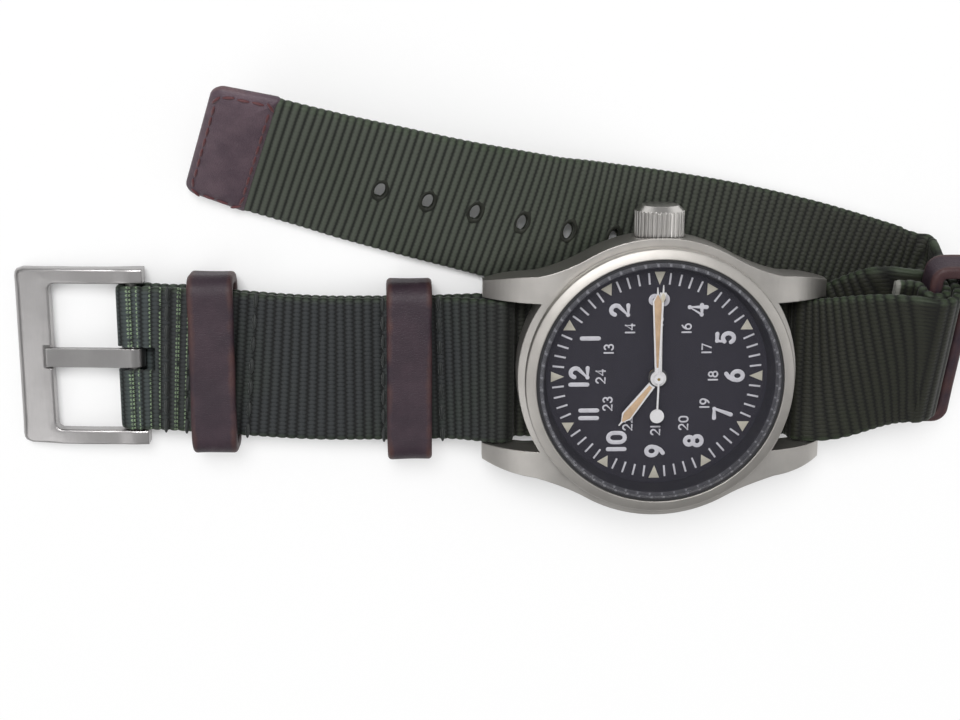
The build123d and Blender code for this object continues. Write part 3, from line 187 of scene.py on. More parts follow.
class Graph:
    """A node tree that is wired by expressions."""

    def __init__(self, tree: bpy.types.NodeTree) -> None:
        """Empties the tree and keeps it."""
        self.tree = tree
        tree.nodes.clear()

    @staticmethod
    def find(sockets: bpy.types.NodeInputs, key: str | int) -> bpy.types.NodeSocket:
        """Finds a socket.

        Args:
            sockets: A node's inputs or outputs.
            key: Its number, identifier or name.

        Returns:
            The socket.
        """
        if isinstance(key, int):
            return sockets[key]
        exact = [socket for socket in sockets if socket.identifier == key]
        return exact[0] if exact else next(s for s in sockets if s.name == key and s.enabled)

    def node(self, kind: str, settings: dict[str, object] | None = None,
             sockets: dict[str | int, object] | None = None, output: str | int = 0) -> Wire:
        """Adds a node.

        Args:
            kind: The node's type.
            settings: Properties that are set first.
            sockets: Values or wires for the inputs, or a list of wires for one that joins them.
            output: The output that is returned.

        Returns:
            A wire from that output.
        """
        made = self.tree.nodes.new(kind)
        for name, value in (settings or {}).items():
            setattr(made, name, value)
        for key, value in (sockets or {}).items():
            socket = self.find(made.inputs, key)
            if isinstance(value, (Wire, list)):
                for wire in value if isinstance(value, list) else [value]:
                    self.tree.links.new(wire.socket, socket)
            elif isinstance(value, tuple) and socket.type == "RGBA":
                socket.default_value = (*value, 1.0)
            else:
                socket.default_value = value
        return Wire(self, self.find(made.outputs, output) if made.outputs else None)

    def mix(self, factor: Wire | float, first: Wire | Colour, second: Wire | Colour,
            blend: str = "MIX") -> Wire:
        """Mixes two colours."""
        return self.node("ShaderNodeMix", {"data_type": "RGBA", "blend_type": blend},
                         {"Factor_Float": factor, "A_Color": first, "B_Color": second},
                         "Result_Color")

    def noise(self, where: Wire, scale: float, detail: float = 3.0, rough: float = 0.5) -> Wire:
        """Smooth noise between 0 and 1 at a number of features per metre."""
        return self.node("ShaderNodeTexNoise", {},
                         {"Vector": where, "Scale": scale, "Detail": detail, "Roughness": rough})

    def stretch(self, where: Wire, scale: Colour) -> Wire:
        """Scales a position by axis."""
        return self.node("ShaderNodeMapping", {}, {"Vector": where, "Scale": Vector(scale)})

    def span(self, value: Wire, low: float, high: float, to_low: float = 0.0,
             to_high: float = 1.0) -> Wire:
        """Maps a range smoothly on to another, held at both ends."""
        return self.node("ShaderNodeMapRange", {"interpolation_type": "SMOOTHSTEP"},
                         {"Value": value, "From Min": low, "From Max": high,
                          "To Min": to_low, "To Max": to_high})

    def near(self, distance: Wire, full: float, none: float) -> Wire:
        """1 up to one distance, falling to 0 at another."""
        return self.span(distance, full, none, 1.0, 0.0)

    def bump(self, height: Wire, distance: float, strength: float = 1.0,
             **below: Wire) -> Wire:
        """Normal from a height in units of a distance in metres."""
        return self.node("ShaderNodeBump", {}, {"Height": height, "Distance": distance,
                                                "Strength": strength, **below})

    def position(self) -> Wire:
        """Object coordinates, which are metres in the frame."""
        return self.node("ShaderNodeTexCoord", {}, {}, "Object")

    def plan(self, where: Wire) -> tuple[Wire, Wire]:
        """First two parts of a position."""
        first = self.node("ShaderNodeSeparateXYZ", {}, {0: where}, "X")
        return first, first.other("Y")

    def attribute(self, name: str, output: str = "Fac") -> Wire:
        """An attribute of the mesh."""
        return self.node("ShaderNodeAttribute", {"attribute_name": name}, {}, output)

    def open_sky(self, reach: float, samples: int) -> Wire:
        """Share of its surroundings within a reach that a place sees open."""
        return self.node("ShaderNodeAmbientOcclusion", {"samples": samples},
                         {"Distance": reach}, "AO")

    def seen_by(self, *rays: str) -> Wire:
        """1 where one of these kinds of ray looks, else 0."""
        path = self.node("ShaderNodeLightPath", {}, {}, rays[0])
        return functools.reduce(Wire.larger, (path.other(ray) for ray in rays))

    def principled(self, sockets: dict[str | int, object]) -> Wire:
        """The common surface shader."""
        return self.node("ShaderNodeBsdfPrincipled", {}, sockets)


def toned(colour: Colour, share: float) -> Colour:
    """A colour made darker or lighter by a share, held at 1."""
    return tuple(min(1.0, part * share) for part in colour)


@dataclass(frozen=True)
class Finish:
    """What every finish shares: its name and the making of its material."""

    name: str

    def shader(self, graph: Graph) -> Wire:
        """Wires the surface shader."""
        raise NotImplementedError

    def material(self) -> bpy.types.Material:
        """Gives the finish's material, made once."""
        return material_of(self)


@functools.cache
def material_of(finish: Finish) -> bpy.types.Material:
    """Makes a finish's material.

    Args:
        finish: The finish.

    Returns:
        The material, the same one for each call.
    """
    material = bpy.data.materials.new(finish.name)
    material.use_nodes = True
    graph = Graph(material.node_tree)
    graph.node("ShaderNodeOutputMaterial", {}, {"Surface": finish.shader(graph)})
    return material


@dataclass(frozen=True)
class Steel(Finish):
    """Blasted or satin steel, with a fine grain and edges softened by wear."""

    colour: Colour = (0.5, 0.48, 0.455)
    roughness: float = 0.46
    grain: float = 9000.0
    grain_depth: float = 0.000016
    brushing: Colour = EVEN
    edge: float = 0.00018
    # Reach and tone of the painted shade in grooves.
    groove: float = 0.0
    groove_tone: float = 0.16
    cloud_size: float = 260.0

    def shader(self, graph: Graph) -> Wire:
        """Wires grain, cloudy tone, rounded edges and painted shade in the grooves.

        Args:
            graph: The material's graph.

        Returns:
            A wire from the surface shader.
        """
        where = graph.position()
        cloud = graph.noise(where, self.cloud_size, 4.0)
        grain = graph.noise(graph.stretch(where, self.brushing), self.grain, 2.0, 0.6)
        tone = graph.mix(graph.span(cloud, 0.3, 0.7), toned(self.colour, 0.93),
                         toned(self.colour, 1.06))
        rounded = graph.node("ShaderNodeBevel", {"samples": 6}, {"Radius": self.edge})
        # Painted shade: darker where little of the surroundings is open, as in the crown's flutes.
        if self.groove:
            tone = graph.mix(graph.span(graph.open_sky(self.groove, 8), 0.35, 0.9),
                             toned(self.colour, self.groove_tone), tone)
        return graph.principled({
            "Base Color": graph.mix(grain * 0.25, tone, toned(self.colour, 0.82)),
            "Metallic": 1.0,
            "Roughness": grain * 0.12 + (self.roughness - 0.06),
            "Normal": graph.bump(grain, self.grain_depth, 0.8, Normal=rounded)})


@dataclass(frozen=True)
class MovementMetal(Finish):
    """Plated plate, brass wheel or polished steel of the movement, with straight graining."""

    colour: Colour = (0.6, 0.58, 0.54)
    roughness: float = 0.25
    stripes: float = 900.0

    def shader(self, graph: Graph) -> Wire:
        """Wires straight graining over a faint cloud.

        Args:
            graph: The material's graph.

        Returns:
            A wire from the surface shader.
        """
        where = graph.position()
        lines = graph.noise(graph.stretch(where, (0.04, 1.0, 1.0)), self.stripes * 12, 2.0)
        bands = graph.node("ShaderNodeTexWave", {"bands_direction": "DIAGONAL"},
                           {"Vector": where, "Scale": self.stripes / 4, "Distortion": 0.3}, "Fac")
        return graph.principled({
            "Base Color": graph.mix(bands * 0.3, self.colour, toned(self.colour, 0.8)),
            "Metallic": 1.0,
            "Roughness": lines * 0.15 + self.roughness,
            "Normal": graph.bump(lines, 0.000006)})


@dataclass(frozen=True)
class Webbing(Finish):
    """Nylon webbing: beaded ribs across the strap, paler at the fold, with painted light and shade
    along it: darker round the head, paler along the run back.
    """

    # Thread tones near the buckle, round the head and at the tip: painted light and shade along the
    # strap.
    start: Colour = (0.026, 0.029, 0.031)
    middle: Colour = (0.0155, 0.0162, 0.0098)
    tip: Colour = (0.078, 0.089, 0.07)
    green: Colour = (0.034, 0.052, 0.026)
    folded: Colour = (0.05, 0.064, 0.064)
    pale: Colour = (0.24, 0.33, 0.2)
    sealed: Colour = (0.2, 0.2, 0.18)
    fibre: Colour = (0.12, 0.13, 0.11)
    # Share of the thread tone left in the rib valleys: painted shade.
    shade: float = 0.16
    bead: float = 0.00058
    fold_end: float = 0.0
    fold_fade: float = 0.0035
    sealed_from: float = 1.0
    selvedge: Plan = (0.009, 0.0101)
    turn: Plan = (0.1, 0.16)
    tail: Plan = (0.2, 0.26)
    pale_rows: tuple[float, ...] = ()
    pale_swing: float = 0.00007
    pale_line: Plan = (0.00004, 0.00013)
    twill: Plan = (3400.0, 2300.0)
    relief: float = 0.00012

    def shader(self, graph: Graph) -> Wire:
        """Wires ribs, beads, yarn streaks and the speckled rows of the fold.

        Args:
            graph: The material's graph.

        Returns:
            A wire from the surface shader.
        """
        flat = graph.attribute("flat", "Vector")
        along, across = graph.plan(flat)
        rib = graph.attribute("rib")
        crest = abs((rib * math.pi).sine())
        beads = abs(((across * (1 / self.bead) + rib.floor() % 2.0 * 0.5) * math.pi).sine())
        yarn = graph.noise(graph.stretch(flat, (2.6, 1.0, 1.0)), 3600.0, 3.0, 0.65)
        worn = graph.noise(flat, 60.0, 3.0)
        twill = ((across * self.twill[1] + along * self.twill[0]) * math.pi).sine()
        plain = graph.span(along, *self.tail)
        beads = (plain * -0.75 + 1.0) * beads + plain * 0.55
        relief = crest ** 0.7 * 0.4 + beads ** 0.6 * 0.35 + yarn * 0.35 + twill * 0.04
        # Painted light and shade on the ribs: crests and beads are lit, the valleys between them
        # darkened by the shade share.
        lit = graph.span(crest * 0.7 + beads * 0.35 + yarn * 0.55, 0.56, 1.26)
        fibre = graph.noise(graph.stretch(flat, (1.0, 1.7, 1.0)), 6200.0, 2.0, 0.6)
        # Painted light and shade along the strap: the thread tone runs from start to middle to tip.
        thread = graph.mix(graph.span(along, *self.turn), self.start, self.middle)
        thread = graph.mix(plain, thread, self.tip)
        folded = graph.near(along, self.fold_end - self.fold_fade, self.fold_end)
        thread = graph.mix(folded * 0.85, thread, self.folded)
        thread = graph.mix(graph.span(abs(across), *self.selvedge) * 0.7
                           + graph.span(worn, 0.45, 0.8) * 0.3, thread, self.green)
        dark = graph.mix(1.0, thread, (self.shade,) * 3, "MULTIPLY")
        colour = graph.mix(lit, dark, thread)
        # Pale fibres show most on the lit crests: real fibres, with painted light.
        colour = graph.mix(graph.span(fibre, 0.56, 0.78) * lit * 0.16, colour, self.fibre)
        if self.pale_rows:
            zigzag = (across * (math.tau / self.bead)).sine() * self.pale_swing
            dash = graph.span((across * (math.tau / self.bead)).sine(), -0.9, 0.1)
            patch = graph.span(graph.noise(flat, 900.0, 3.0), 0.3, 0.56)
        for row in self.pale_rows:
            line = graph.near(abs(along - row + zigzag), *self.pale_line)
            colour = graph.mix(line * dash * patch * 0.85, colour, self.pale)
        colour = graph.mix(graph.span(along, self.sealed_from, self.sealed_from + 0.0003), colour,
                           self.sealed)
        return graph.principled({
            "Base Color": colour, "Roughness": lit * -0.12 + 0.72,
            "Specular IOR Level": 0.35, "Sheen Weight": 0.08, "Sheen Roughness": 0.4,
            "Normal": graph.bump(relief, self.relief, 0.9)})


@dataclass(frozen=True)
class Leather(Finish):
    """Waxed brown leather, burnished tan where a cut edge or a corner is rubbed."""

    dark: Colour = (0.03, 0.017, 0.026)
    light: Colour = (0.046, 0.026, 0.037)
    rubbed: Colour = (0.085, 0.034, 0.025)
    pore: float = 3000.0
    relief: float = 0.00005

    def shader(self, graph: Graph) -> Wire:
        """Wires pores, creases and the burnish of the edges.

        Args:
            graph: The material's graph.

        Returns:
            A wire from the surface shader.
        """
        where = graph.position()
        cloud = graph.noise(where, 330.0, 4.0)
        pores = graph.node("ShaderNodeTexVoronoi", {"feature": "DISTANCE_TO_EDGE"},
                           {"Vector": where, "Scale": self.pore}, "Distance")
        cells = graph.span(pores, 0.0, 0.22)
        strokes = graph.noise(graph.stretch(where, (1.0, 0.3, 1.0)), 2600.0, 4.0, 0.6)
        rubbed = (graph.attribute("burnish") * 1.1 + cloud * 1.3 - 1.18).larger(0.0).smaller(1.0)
        base = graph.mix(graph.span(cloud, 0.3, 0.72), self.dark, self.light)
        base = graph.mix(strokes * 0.45, base, toned(self.dark, 0.6))
        return graph.principled({
            "Base Color": graph.mix(rubbed * 0.85, base, self.rubbed),
            "Roughness": strokes * 0.2 + 0.42, "Specular IOR Level": 0.4,
            "Normal": graph.bump(cells * 0.5 + strokes * 0.6, self.relief, 0.8)})


@dataclass(frozen=True)
class Paint(Finish):
    """Printed or filled paint: matt, faintly uneven, with a dark ring where a hub is given."""

    colour: Colour = (0.6, 0.59, 0.62)
    roughness: float = 0.55
    uneven: float = 0.1
    grain: float = 4200.0
    gloss: float = 0.5
    hub: float = 0.0
    hub_line: Plan = (0.00018, 0.00021)

    def shader(self, graph: Graph) -> Wire:
        """Wires an uneven coat with a fine tooth.

        Args:
            graph: The material's graph.

        Returns:
            A wire from the surface shader.
        """
        where = graph.position()
        cloud = graph.noise(where, 900.0, 3.0)
        tooth = graph.noise(where, self.grain, 2.0)
        colour = graph.mix(graph.span(cloud, 0.3, 0.7), toned(self.colour, 1 - self.uneven),
                           self.colour)
        if self.hub:
            x, y = graph.plan(where)
            ring = graph.near(abs((x * x + y * y) ** 0.5 - self.hub), *self.hub_line)
            colour = graph.mix(ring, colour, toned(self.colour, 0.09))
        return graph.principled({
            "Base Color": colour,
            "Roughness": tooth * 0.15 + self.roughness - 0.08, "Specular IOR Level": self.gloss,
            "Normal": graph.bump(tooth, 0.000012, 0.6)})


@dataclass(frozen=True)
class Thread(Finish):
    """Twisted sewing thread."""

    colour: Colour = (0.014, 0.017, 0.016)

    def shader(self, graph: Graph) -> Wire:
        """Wires a fine twist.

        Args:
            graph: The material's graph.

        Returns:
            A wire from the surface shader.
        """
        twist = graph.noise(graph.stretch(graph.position(), (1.0, 2.0, 1.0)), 7000.0, 2.0)
        return graph.principled({
            "Base Color": graph.mix(twist, toned(self.colour, 0.6), toned(self.colour, 1.5)),
            "Roughness": 0.55, "Sheen Weight": 0.2,
            "Normal": graph.bump(twist, 0.00004)})


@dataclass(frozen=True)
class Glass(Finish):
    """Clear crystal: nearly all see-through, with a bevel greyed by painted reflection and small
    painted glints.
    """

    tint: Colour = (0.07, 0.07, 0.09)
    # Grey of the bevel and of its glints: painted reflection.
    bevel: Colour = (0.17, 0.17, 0.19)
    glint: Colour = (0.3, 0.3, 0.33)
    bevel_start: float = 0.01545
    bevel_fade: float = 0.0003
    glints: float = 60.0
    glint_in: float = 0.0004
    glint_fade: Plan = (0.0001, 0.0003)

    def shader(self, graph: Graph) -> Wire:
        """Wires see-through glass with a mirror coat that grows at a glancing view.

        Args:
            graph: The material's graph.

        Returns:
            A wire from the surface shader.
        """
        where = graph.position()
        x, y = graph.plan(where)
        radius = (x * x + y * y) ** 0.5
        rim = graph.node("ShaderNodeLayerWeight", {}, {"Blend": 0.25}, "Facing")
        film = graph.noise(where, 300.0, 2.0)
        edge = graph.span(radius, self.bevel_start, self.bevel_start + self.bevel_fade)
        spot = graph.span(abs((y.angle(x) * (self.glints / 2)).sine()), 0.9, 0.99) \
            * graph.near(abs(radius - self.bevel_start - self.glint_in), *self.glint_fade)
        # Painted reflection: the bevel is greyer, and glints stand for reflections of the minute
        # marks.
        colour = graph.mix(spot, graph.mix(edge, self.tint, self.bevel), self.glint)
        return graph.principled({
            "Base Color": colour, "Roughness": film * 0.02 + edge * 0.16 + 0.03, "IOR": 1.7,
            "Alpha": (rim ** 1.5 * 0.6 + edge * 0.36 + spot * 0.16 + 0.04).smaller(1.0)})


@dataclass(frozen=True)
class Rubber(Finish):
    """Dull black gasket."""

    colour: Colour = (0.012, 0.012, 0.014)
    dust: Colour = (0.05, 0.05, 0.055)

    def shader(self, graph: Graph) -> Wire:
        """Wires a dull, slightly dusty surface.

        Args:
            graph: The material's graph.

        Returns:
            A wire from the surface shader.
        """
        dust = graph.noise(graph.position(), 1800.0, 3.0)
        return graph.principled({
            "Base Color": graph.mix(dust * 0.2, self.colour, self.dust),
            "Roughness": 0.7, "Normal": graph.bump(dust, 0.00001)})


@dataclass(frozen=True)
class PaleTable(Finish):
    """Plain pale table that shows white to the camera and keeps a soft shadow."""

    colour: Colour = (0.9, 0.9, 0.9)
    glow: float = 0.93
    contact: float = 0.018

    def shader(self, graph: Graph) -> Wire:
        """Wires a matt surface that the camera and mirrors see mostly as plain white, with a painted
        contact shadow: where nearby things hem it in, the white gives way to the matt floor and its
        real shadow.

        Args:
            graph: The material's graph.

        Returns:
            A wire from the surface shader.
        """
        seen = graph.seen_by("Is Camera Ray", "Is Glossy Ray", "Is Transmission Ray")
        matt = graph.node("ShaderNodeBsdfDiffuse", {}, {"Color": self.colour})
        white = graph.node("ShaderNodeEmission", {}, {"Color": WHITE, "Strength": 1.0})
        # Painted contact shadow: the white share falls where little of the surroundings is open.
        share = seen * self.glow * graph.open_sky(self.contact, 12) ** 1.4
        return graph.node("ShaderNodeMixShader", {}, {0: share, 1: matt, 2: white})


BLASTED = Steel("blasted steel")
SATIN = Steel("satin steel", (0.42, 0.408, 0.406), 0.36, 5200.0, 0.000012, BRUSHED, 0.00026)
FLUTED = Steel("fluted steel", (0.62, 0.6, 0.575), 0.3, 9000.0, 0.000006, EVEN, 0.00006,
               0.0006)
# Bezel steel: a darker, rougher copy of the blasted steel; its darker colour is painted shade on the
# ring.
BEZEL_STEEL = Steel("bezel steel", (0.455, 0.435, 0.41), 0.5)
TONGUE_STEEL = Steel("tongue steel", (0.36, 0.352, 0.35), 0.34, 5200.0, 0.000012, BRUSHED)
BAR_STEEL = Steel("bar steel", (0.5, 0.49, 0.48), 0.3, 6000.0, 0.000006, (1.0, 0.05, 1.0), 0.00005)
NICKEL = MovementMetal("nickel plate", (0.6, 0.58, 0.53), 0.24)
GEAR_STEEL = MovementMetal("gear steel", (0.56, 0.56, 0.57), 0.2)
BRASS = MovementMetal("brass", (0.62, 0.44, 0.17), 0.22)
RUBY = Paint("ruby", (0.5, 0.02, 0.08), 0.15, 0.2)
DIAL_BLACK = Paint("dial black", (0.026, 0.024, 0.034), 0.6, 0.12, 9000.0, 0.3)
RING_BLACK = Paint("ring black", (0.03, 0.029, 0.036), 0.5, 0.12, 9000.0, 0.4)
PRINT = Paint("dial print", (0.62, 0.61, 0.66), 0.5)
LUME = Paint("hour lume", (0.55, 0.52, 0.44), 0.6, 0.14)
HAND_LUME = Paint("hand lume", (0.62, 0.43, 0.27), 0.6, 0.22)
SPADE_LUME = Paint("spade lume", (0.66, 0.6, 0.48), 0.6, 0.14)
HUBBED_WHITE = Paint("hubbed white", (0.78, 0.77, 0.78), 0.35, 0.05, hub=0.0011)
HAND_WHITE = Paint("hand white", (0.78, 0.77, 0.78), 0.35, 0.05)
MELTED = Paint("melted webbing", (0.022, 0.024, 0.018), 0.5, 0.4, 2500.0, 0.3)
CRYSTAL = Glass("crystal glass")
GASKET = Rubber("gasket rubber")
LEATHER = Leather("brown leather")
TIP_LEATHER = Leather("tip leather", (0.085, 0.056, 0.073), (0.135, 0.09, 0.11), (0.2, 0.1, 0.075))
STRAP_THREAD = Thread("strap thread")
LEATHER_THREAD = Thread("leather thread", (0.085, 0.018, 0.022))

SLOT_FINISH: dict[str, Finish] = {
    "blasted_steel": BLASTED, "satin_steel": SATIN, "nickel_plate": NICKEL,
    "movement_steel": GEAR_STEEL, "movement_brass": BRASS, "dial_black": DIAL_BLACK,
    "crystal_glass": CRYSTAL, "gasket_rubber": GASKET, "brown_leather": LEATHER,
    "green_webbing": STRAP_THREAD, "ruby": RUBY, "hand_white": HAND_WHITE}
NODE_FINISH: dict[str, Finish] = {
    "inner_ring": RING_BLACK, "spring_bar_12": BAR_STEEL, "spring_bar_6": BAR_STEEL,
    "buckle_pin": BAR_STEEL, "crown": FLUTED, "buckle_tongue": TONGUE_STEEL,
    "hour_hand": HUBBED_WHITE}


def stand(name: str, data: bpy.types.ID) -> bpy.types.Object:
    """Makes an object at the origin and puts it into the scene.

    Args:
        name: The object's name.
        data: Its mesh, camera or light.

    Returns:
        The object.
    """
    made = bpy.data.objects.new(name, data)
    bpy.context.scene.collection.objects.link(made)
    return made


@contextmanager
def reshaped(mesh: bpy.types.Mesh) -> Iterator[bmesh.types.BMesh]:
    """Opens a mesh to be reshaped, and stores it back.

    Args:
        mesh: The mesh.

    Yields:
        Its editable form.
    """
    form = bmesh.new()
    form.from_mesh(mesh)
    yield form
    form.to_mesh(mesh)
    form.free()


def settle(piece: bpy.types.Object) -> None:
    """Keeps what a piece's modifiers make as its plain mesh.

    Args:
        piece: The piece.
    """
    bpy.context.view_layer.update()
    solved = piece.evaluated_get(bpy.context.evaluated_depsgraph_get())
    mesh = bpy.data.meshes.new_from_object(solved)
    piece.modifiers.clear()
    old, piece.data = piece.data, mesh
    bpy.data.meshes.remove(old)


class Recipe(Graph):
    """A Geometry Nodes tree with named inputs, run on an object and kept as a plain mesh."""

    def __init__(self, name: str, **inputs: str) -> None:
        """Makes the tree.

        Args:
            name: Name of the tree.
            inputs: Kind of each named input between the geometry and the material.
        """
        super().__init__(bpy.data.node_groups.new(name, "GeometryNodeTree"))
        face = self.tree.interface
        for title, kind in {"Geometry": "Geometry", **inputs, "Material": "Material"}.items():
            face.new_socket(title, in_out="INPUT", socket_type=f"NodeSocket{kind}")
        face.new_socket("Geometry", in_out="OUTPUT", socket_type="NodeSocketGeometry")
        self.inputs = self.node("NodeGroupInput")

    def given(self, title: str) -> Wire:
        """A named input of the tree."""
        return self.inputs.other(title)

    def get(self, kind: str, **sockets: object) -> Wire:
        """Adds a node that needs no settings, its sockets given by name."""
        return self.node(kind, {}, {name.replace("_", " "): value
                                    for name, value in sockets.items()})

    def close(self, geometry: Wire) -> None:
        """Ends the tree in Realize Instances and Set Material, given what it makes.

        Args:
            geometry: What the tree makes.
        """
        real = self.get("GeometryNodeRealizeInstances", Geometry=geometry)
        dressed = self.get("GeometryNodeSetMaterial", Geometry=real,
                           Material=self.given("Material"))
        self.node("NodeGroupOutput", {}, {0: dressed})

    def run(self, piece: bpy.types.Object, finish: Finish, **values: object) -> None:
        """Runs the tree on a piece, which keeps the result as its plain mesh.

        Args:
            piece: The object that the tree works on.
            finish: The finish that the result gets.
            values: Values of the named inputs.
        """
        modifier = piece.modifiers.new(self.tree.name, "NODES")
        modifier.node_group = self.tree
        values["Material"] = finish.material()
        for item in self.tree.interface.items_tree:
            if item.item_type == "SOCKET" and item.in_out == "INPUT" and item.name in values:
                modifier[item.identifier] = values[item.name]
        settle(piece)


def rib_recipe() -> Recipe:
    """Sinks the valleys between a strap's ribs.

    Returns:
        The tree.
    """
    tree = Recipe("strap_ribs", Depth="Float", Sharpness="Float")
    phase = tree.node("GeometryNodeInputNamedAttribute", {"data_type": "FLOAT"}, {"Name": "rib"})
    crest = abs((phase * math.pi).sine()) ** tree.given("Sharpness")
    offset = tree.node("ShaderNodeVectorMath", {"operation": "SCALE"},
                       {0: tree.node("GeometryNodeInputNormal"),
                        "Scale": (crest - 1.0) * tree.given("Depth")})
    tree.close(tree.get("GeometryNodeSetPosition", Geometry=tree.given("Geometry"),
                        Offset=offset))
    return tree


def ring_recipe() -> Recipe:
    """Copies one mark round a circle, by every so many places or all but those.

    Returns:
        The tree.
    """
    tree = Recipe("ring_of_marks", Count="Int", Radius="Float", Every="Int", Others="Bool")
    circle = tree.get("GeometryNodeMeshCircle", Vertices=tree.given("Count"),
                      Radius=tree.given("Radius"))
    chosen = tree.node("FunctionNodeCompare", {"data_type": "FLOAT", "operation": "LESS_THAN"},
                       {0: tree.node("GeometryNodeInputIndex") % tree.given("Every"), 1: 0.5})
    wanted = tree.node("FunctionNodeBooleanMath", {"operation": "XOR"},
                       {0: chosen, 1: tree.given("Others")})
    turned = tree.node("FunctionNodeAlignRotationToVector", {"axis": "X"},
                       {"Vector": tree.node("GeometryNodeInputPosition")})
    tree.close(tree.get("GeometryNodeInstanceOnPoints", Points=circle, Selection=wanted,
                        Instance=tree.given("Geometry"), Rotation=turned))
    return tree


def stroke_recipe() -> Recipe:
    """Turns lines into flattened round strokes with round ends and joints.

    Returns:
        The tree.
    """
    tree = Recipe("paint_strokes", Radius="Float", Flatness="Float", Height="Float")
    radius, lines = tree.given("Radius"), tree.given("Geometry")
    curve = tree.node("GeometryNodeMeshToCurve", {}, {0: lines})
    round_rod = tree.get("GeometryNodeCurvePrimitiveCircle", Resolution=12, Radius=radius)
    rods = tree.get("GeometryNodeCurveToMesh", Curve=curve, Profile_Curve=round_rod,
                    Fill_Caps=True)
    ball = tree.get("GeometryNodeMeshUVSphere", Segments=12, Rings=7, Radius=radius)
    balls = tree.get("GeometryNodeInstanceOnPoints", Points=lines, Instance=ball)
    both = tree.node("GeometryNodeJoinGeometry", {},
                     {0: [rods, tree.get("GeometryNodeRealizeInstances", Geometry=balls)]})
    squeeze = tree.get("ShaderNodeCombineXYZ", X=1.0, Y=1.0, Z=tree.given("Flatness"))
    lift = tree.get("ShaderNodeCombineXYZ", Z=tree.given("Height"))
    tree.close(tree.get("GeometryNodeTransform", Geometry=both, Translation=lift,
                        Scale=squeeze))
    return tree


def stitch_recipe() -> Recipe:
    """Lays a stitch between each pair of points of a line: a rod with sunken ends.

    Returns:
        The tree.
    """
    tree = Recipe("stitches", Pitch="Float", Radius="Float", Share="Float")
    radius, pitch = tree.given("Radius"), tree.given("Pitch")
    curve = tree.node("GeometryNodeMeshToCurve", {}, {0: tree.given("Geometry")})
    spaced = tree.node("GeometryNodeResampleCurve", {"mode": "LENGTH"},
                       {"Curve": curve, "Length": pitch})
    points = tree.node("GeometryNodeCurveToPoints", {"mode": "EVALUATED"}, {"Curve": spaced})
    ball = tree.get("GeometryNodeMeshUVSphere", Segments=10, Rings=12, Radius=1.0)
    size = tree.get("ShaderNodeCombineXYZ", X=radius, Y=radius,
                    Z=pitch * tree.given("Share") * 0.5)
    tree.close(tree.get("GeometryNodeInstanceOnPoints", Points=points, Instance=ball,
                        Rotation=points.other("Rotation"), Scale=size))
    return tree


class Bench:
    """Makes mesh objects in the frame and declares what they ride on."""

    def __init__(self) -> None:
        """Makes the trees that several pieces share."""
        self.ribs = rib_recipe()
        self.ring = ring_recipe()
        self.strokes = stroke_recipe()
        self.stitches = stitch_recipe()

    def mesh(self, name: str, points: Sequence[Vector], faces: Iterable[Face],
             finish: Finish, edges: Iterable[Face] = ()) -> bpy.types.Object:
        """Makes an object from points in millimetres.

        Args:
            name: The piece's name.
            points: Corners, in millimetres; none goes below the table.
            faces: Corner numbers of each face.
            finish: The finish of every face.
            edges: Corner numbers of loose edges.

        Returns:
            The object, at the origin.
        """
        mesh = bpy.data.meshes.new(name)
        mesh.from_pydata([(p.x * MM, p.y * MM, max(p.z, 0.0) * MM) for p in points],
                         list(edges), list(faces))
        mesh.materials.append(finish.material())
        mesh.validate()
        return stand(name, mesh)

    def smooth(self, piece: bpy.types.Object, angle: float = 40.0) -> bpy.types.Object:
        """Shades a piece smooth, with its normals outwards and sharp edges past an angle.

        Args:
            piece: The piece.
            angle: Least angle of a sharp edge, in degrees.

        Returns:
            The piece.
        """
        with reshaped(piece.data) as form:
            bmesh.ops.recalc_face_normals(form, faces=form.faces)
        piece.data.shade_smooth()
        piece.data.set_sharp_from_angle(angle=math.radians(angle))
        return piece

    def weighted(self, piece: bpy.types.Object) -> None:
        """Lets large faces set the shading, so that flats stay flat beside small edges."""
        piece.modifiers.new("weighted", "WEIGHTED_NORMAL").keep_sharp = True
        settle(piece)

    def attribute(self, piece: bpy.types.Object, name: str, values: Sequence[float]) -> None:
        """Stores one number for each corner of a piece."""
        layer = piece.data.attributes.new(name, "FLOAT", "POINT")
        layer.data.foreach_set("value", list(values))

    def keep(self, piece: bpy.types.Object, body: Body, slot: Slot, *nodes: str) -> None:
        """Puts a finished piece on its body and hides the nodes that it stands for.

        Args:
            piece: The piece.
            body: The body that it rides on.
            slot: The frame's material slot of its finish; not used.
            nodes: The frame's nodes that it stands for.
        """
        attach(piece, body.value)
        if nodes:
            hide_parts(*nodes)
        LOG.info("%s rides on %s, %d faces", piece.name, body.value, len(piece.data.polygons))


def ease(share: float) -> float:
    """Smooth step from 0 to 1, held at both ends."""
    share = min(1.0, max(0.0, share))
    return share ** 2 * (3 - 2 * share)


def blend(start: float, end: float, share: float) -> float:
    """Value part of the way from one number to another."""
    return start + (end - start) * share


def chain(first: int, count: int, closed: bool = False) -> list[Face]:
    """Edges of a line of corners, numbered from its first."""
    return [(first + k, first + (k + 1) % count) for k in range(count if closed else count - 1)]


def tube_faces(rings: int, size: int, closed: bool = False, first: int = 0) -> list[Face]:
    """Faces of a tube whose corners are numbered ring by ring.

    Args:
        rings: Number of rings.
        size: Corners of each ring.
        closed: Whether the last ring meets the first; else both ends are capped.
        first: Number of the first corner.

    Returns:
        The faces.
    """
    faces = []
    for i in range(rings if closed else rings - 1):
        here, there = first + i * size, first + (i + 1) % rings * size
        faces += [(here + j, there + j, there + (j + 1) % size, here + (j + 1) % size)
                  for j in range(size)]
    if not closed:
        faces += [tuple(range(first, first + size)),
                  tuple(range(first + (rings - 1) * size, first + rings * size))]
    return faces


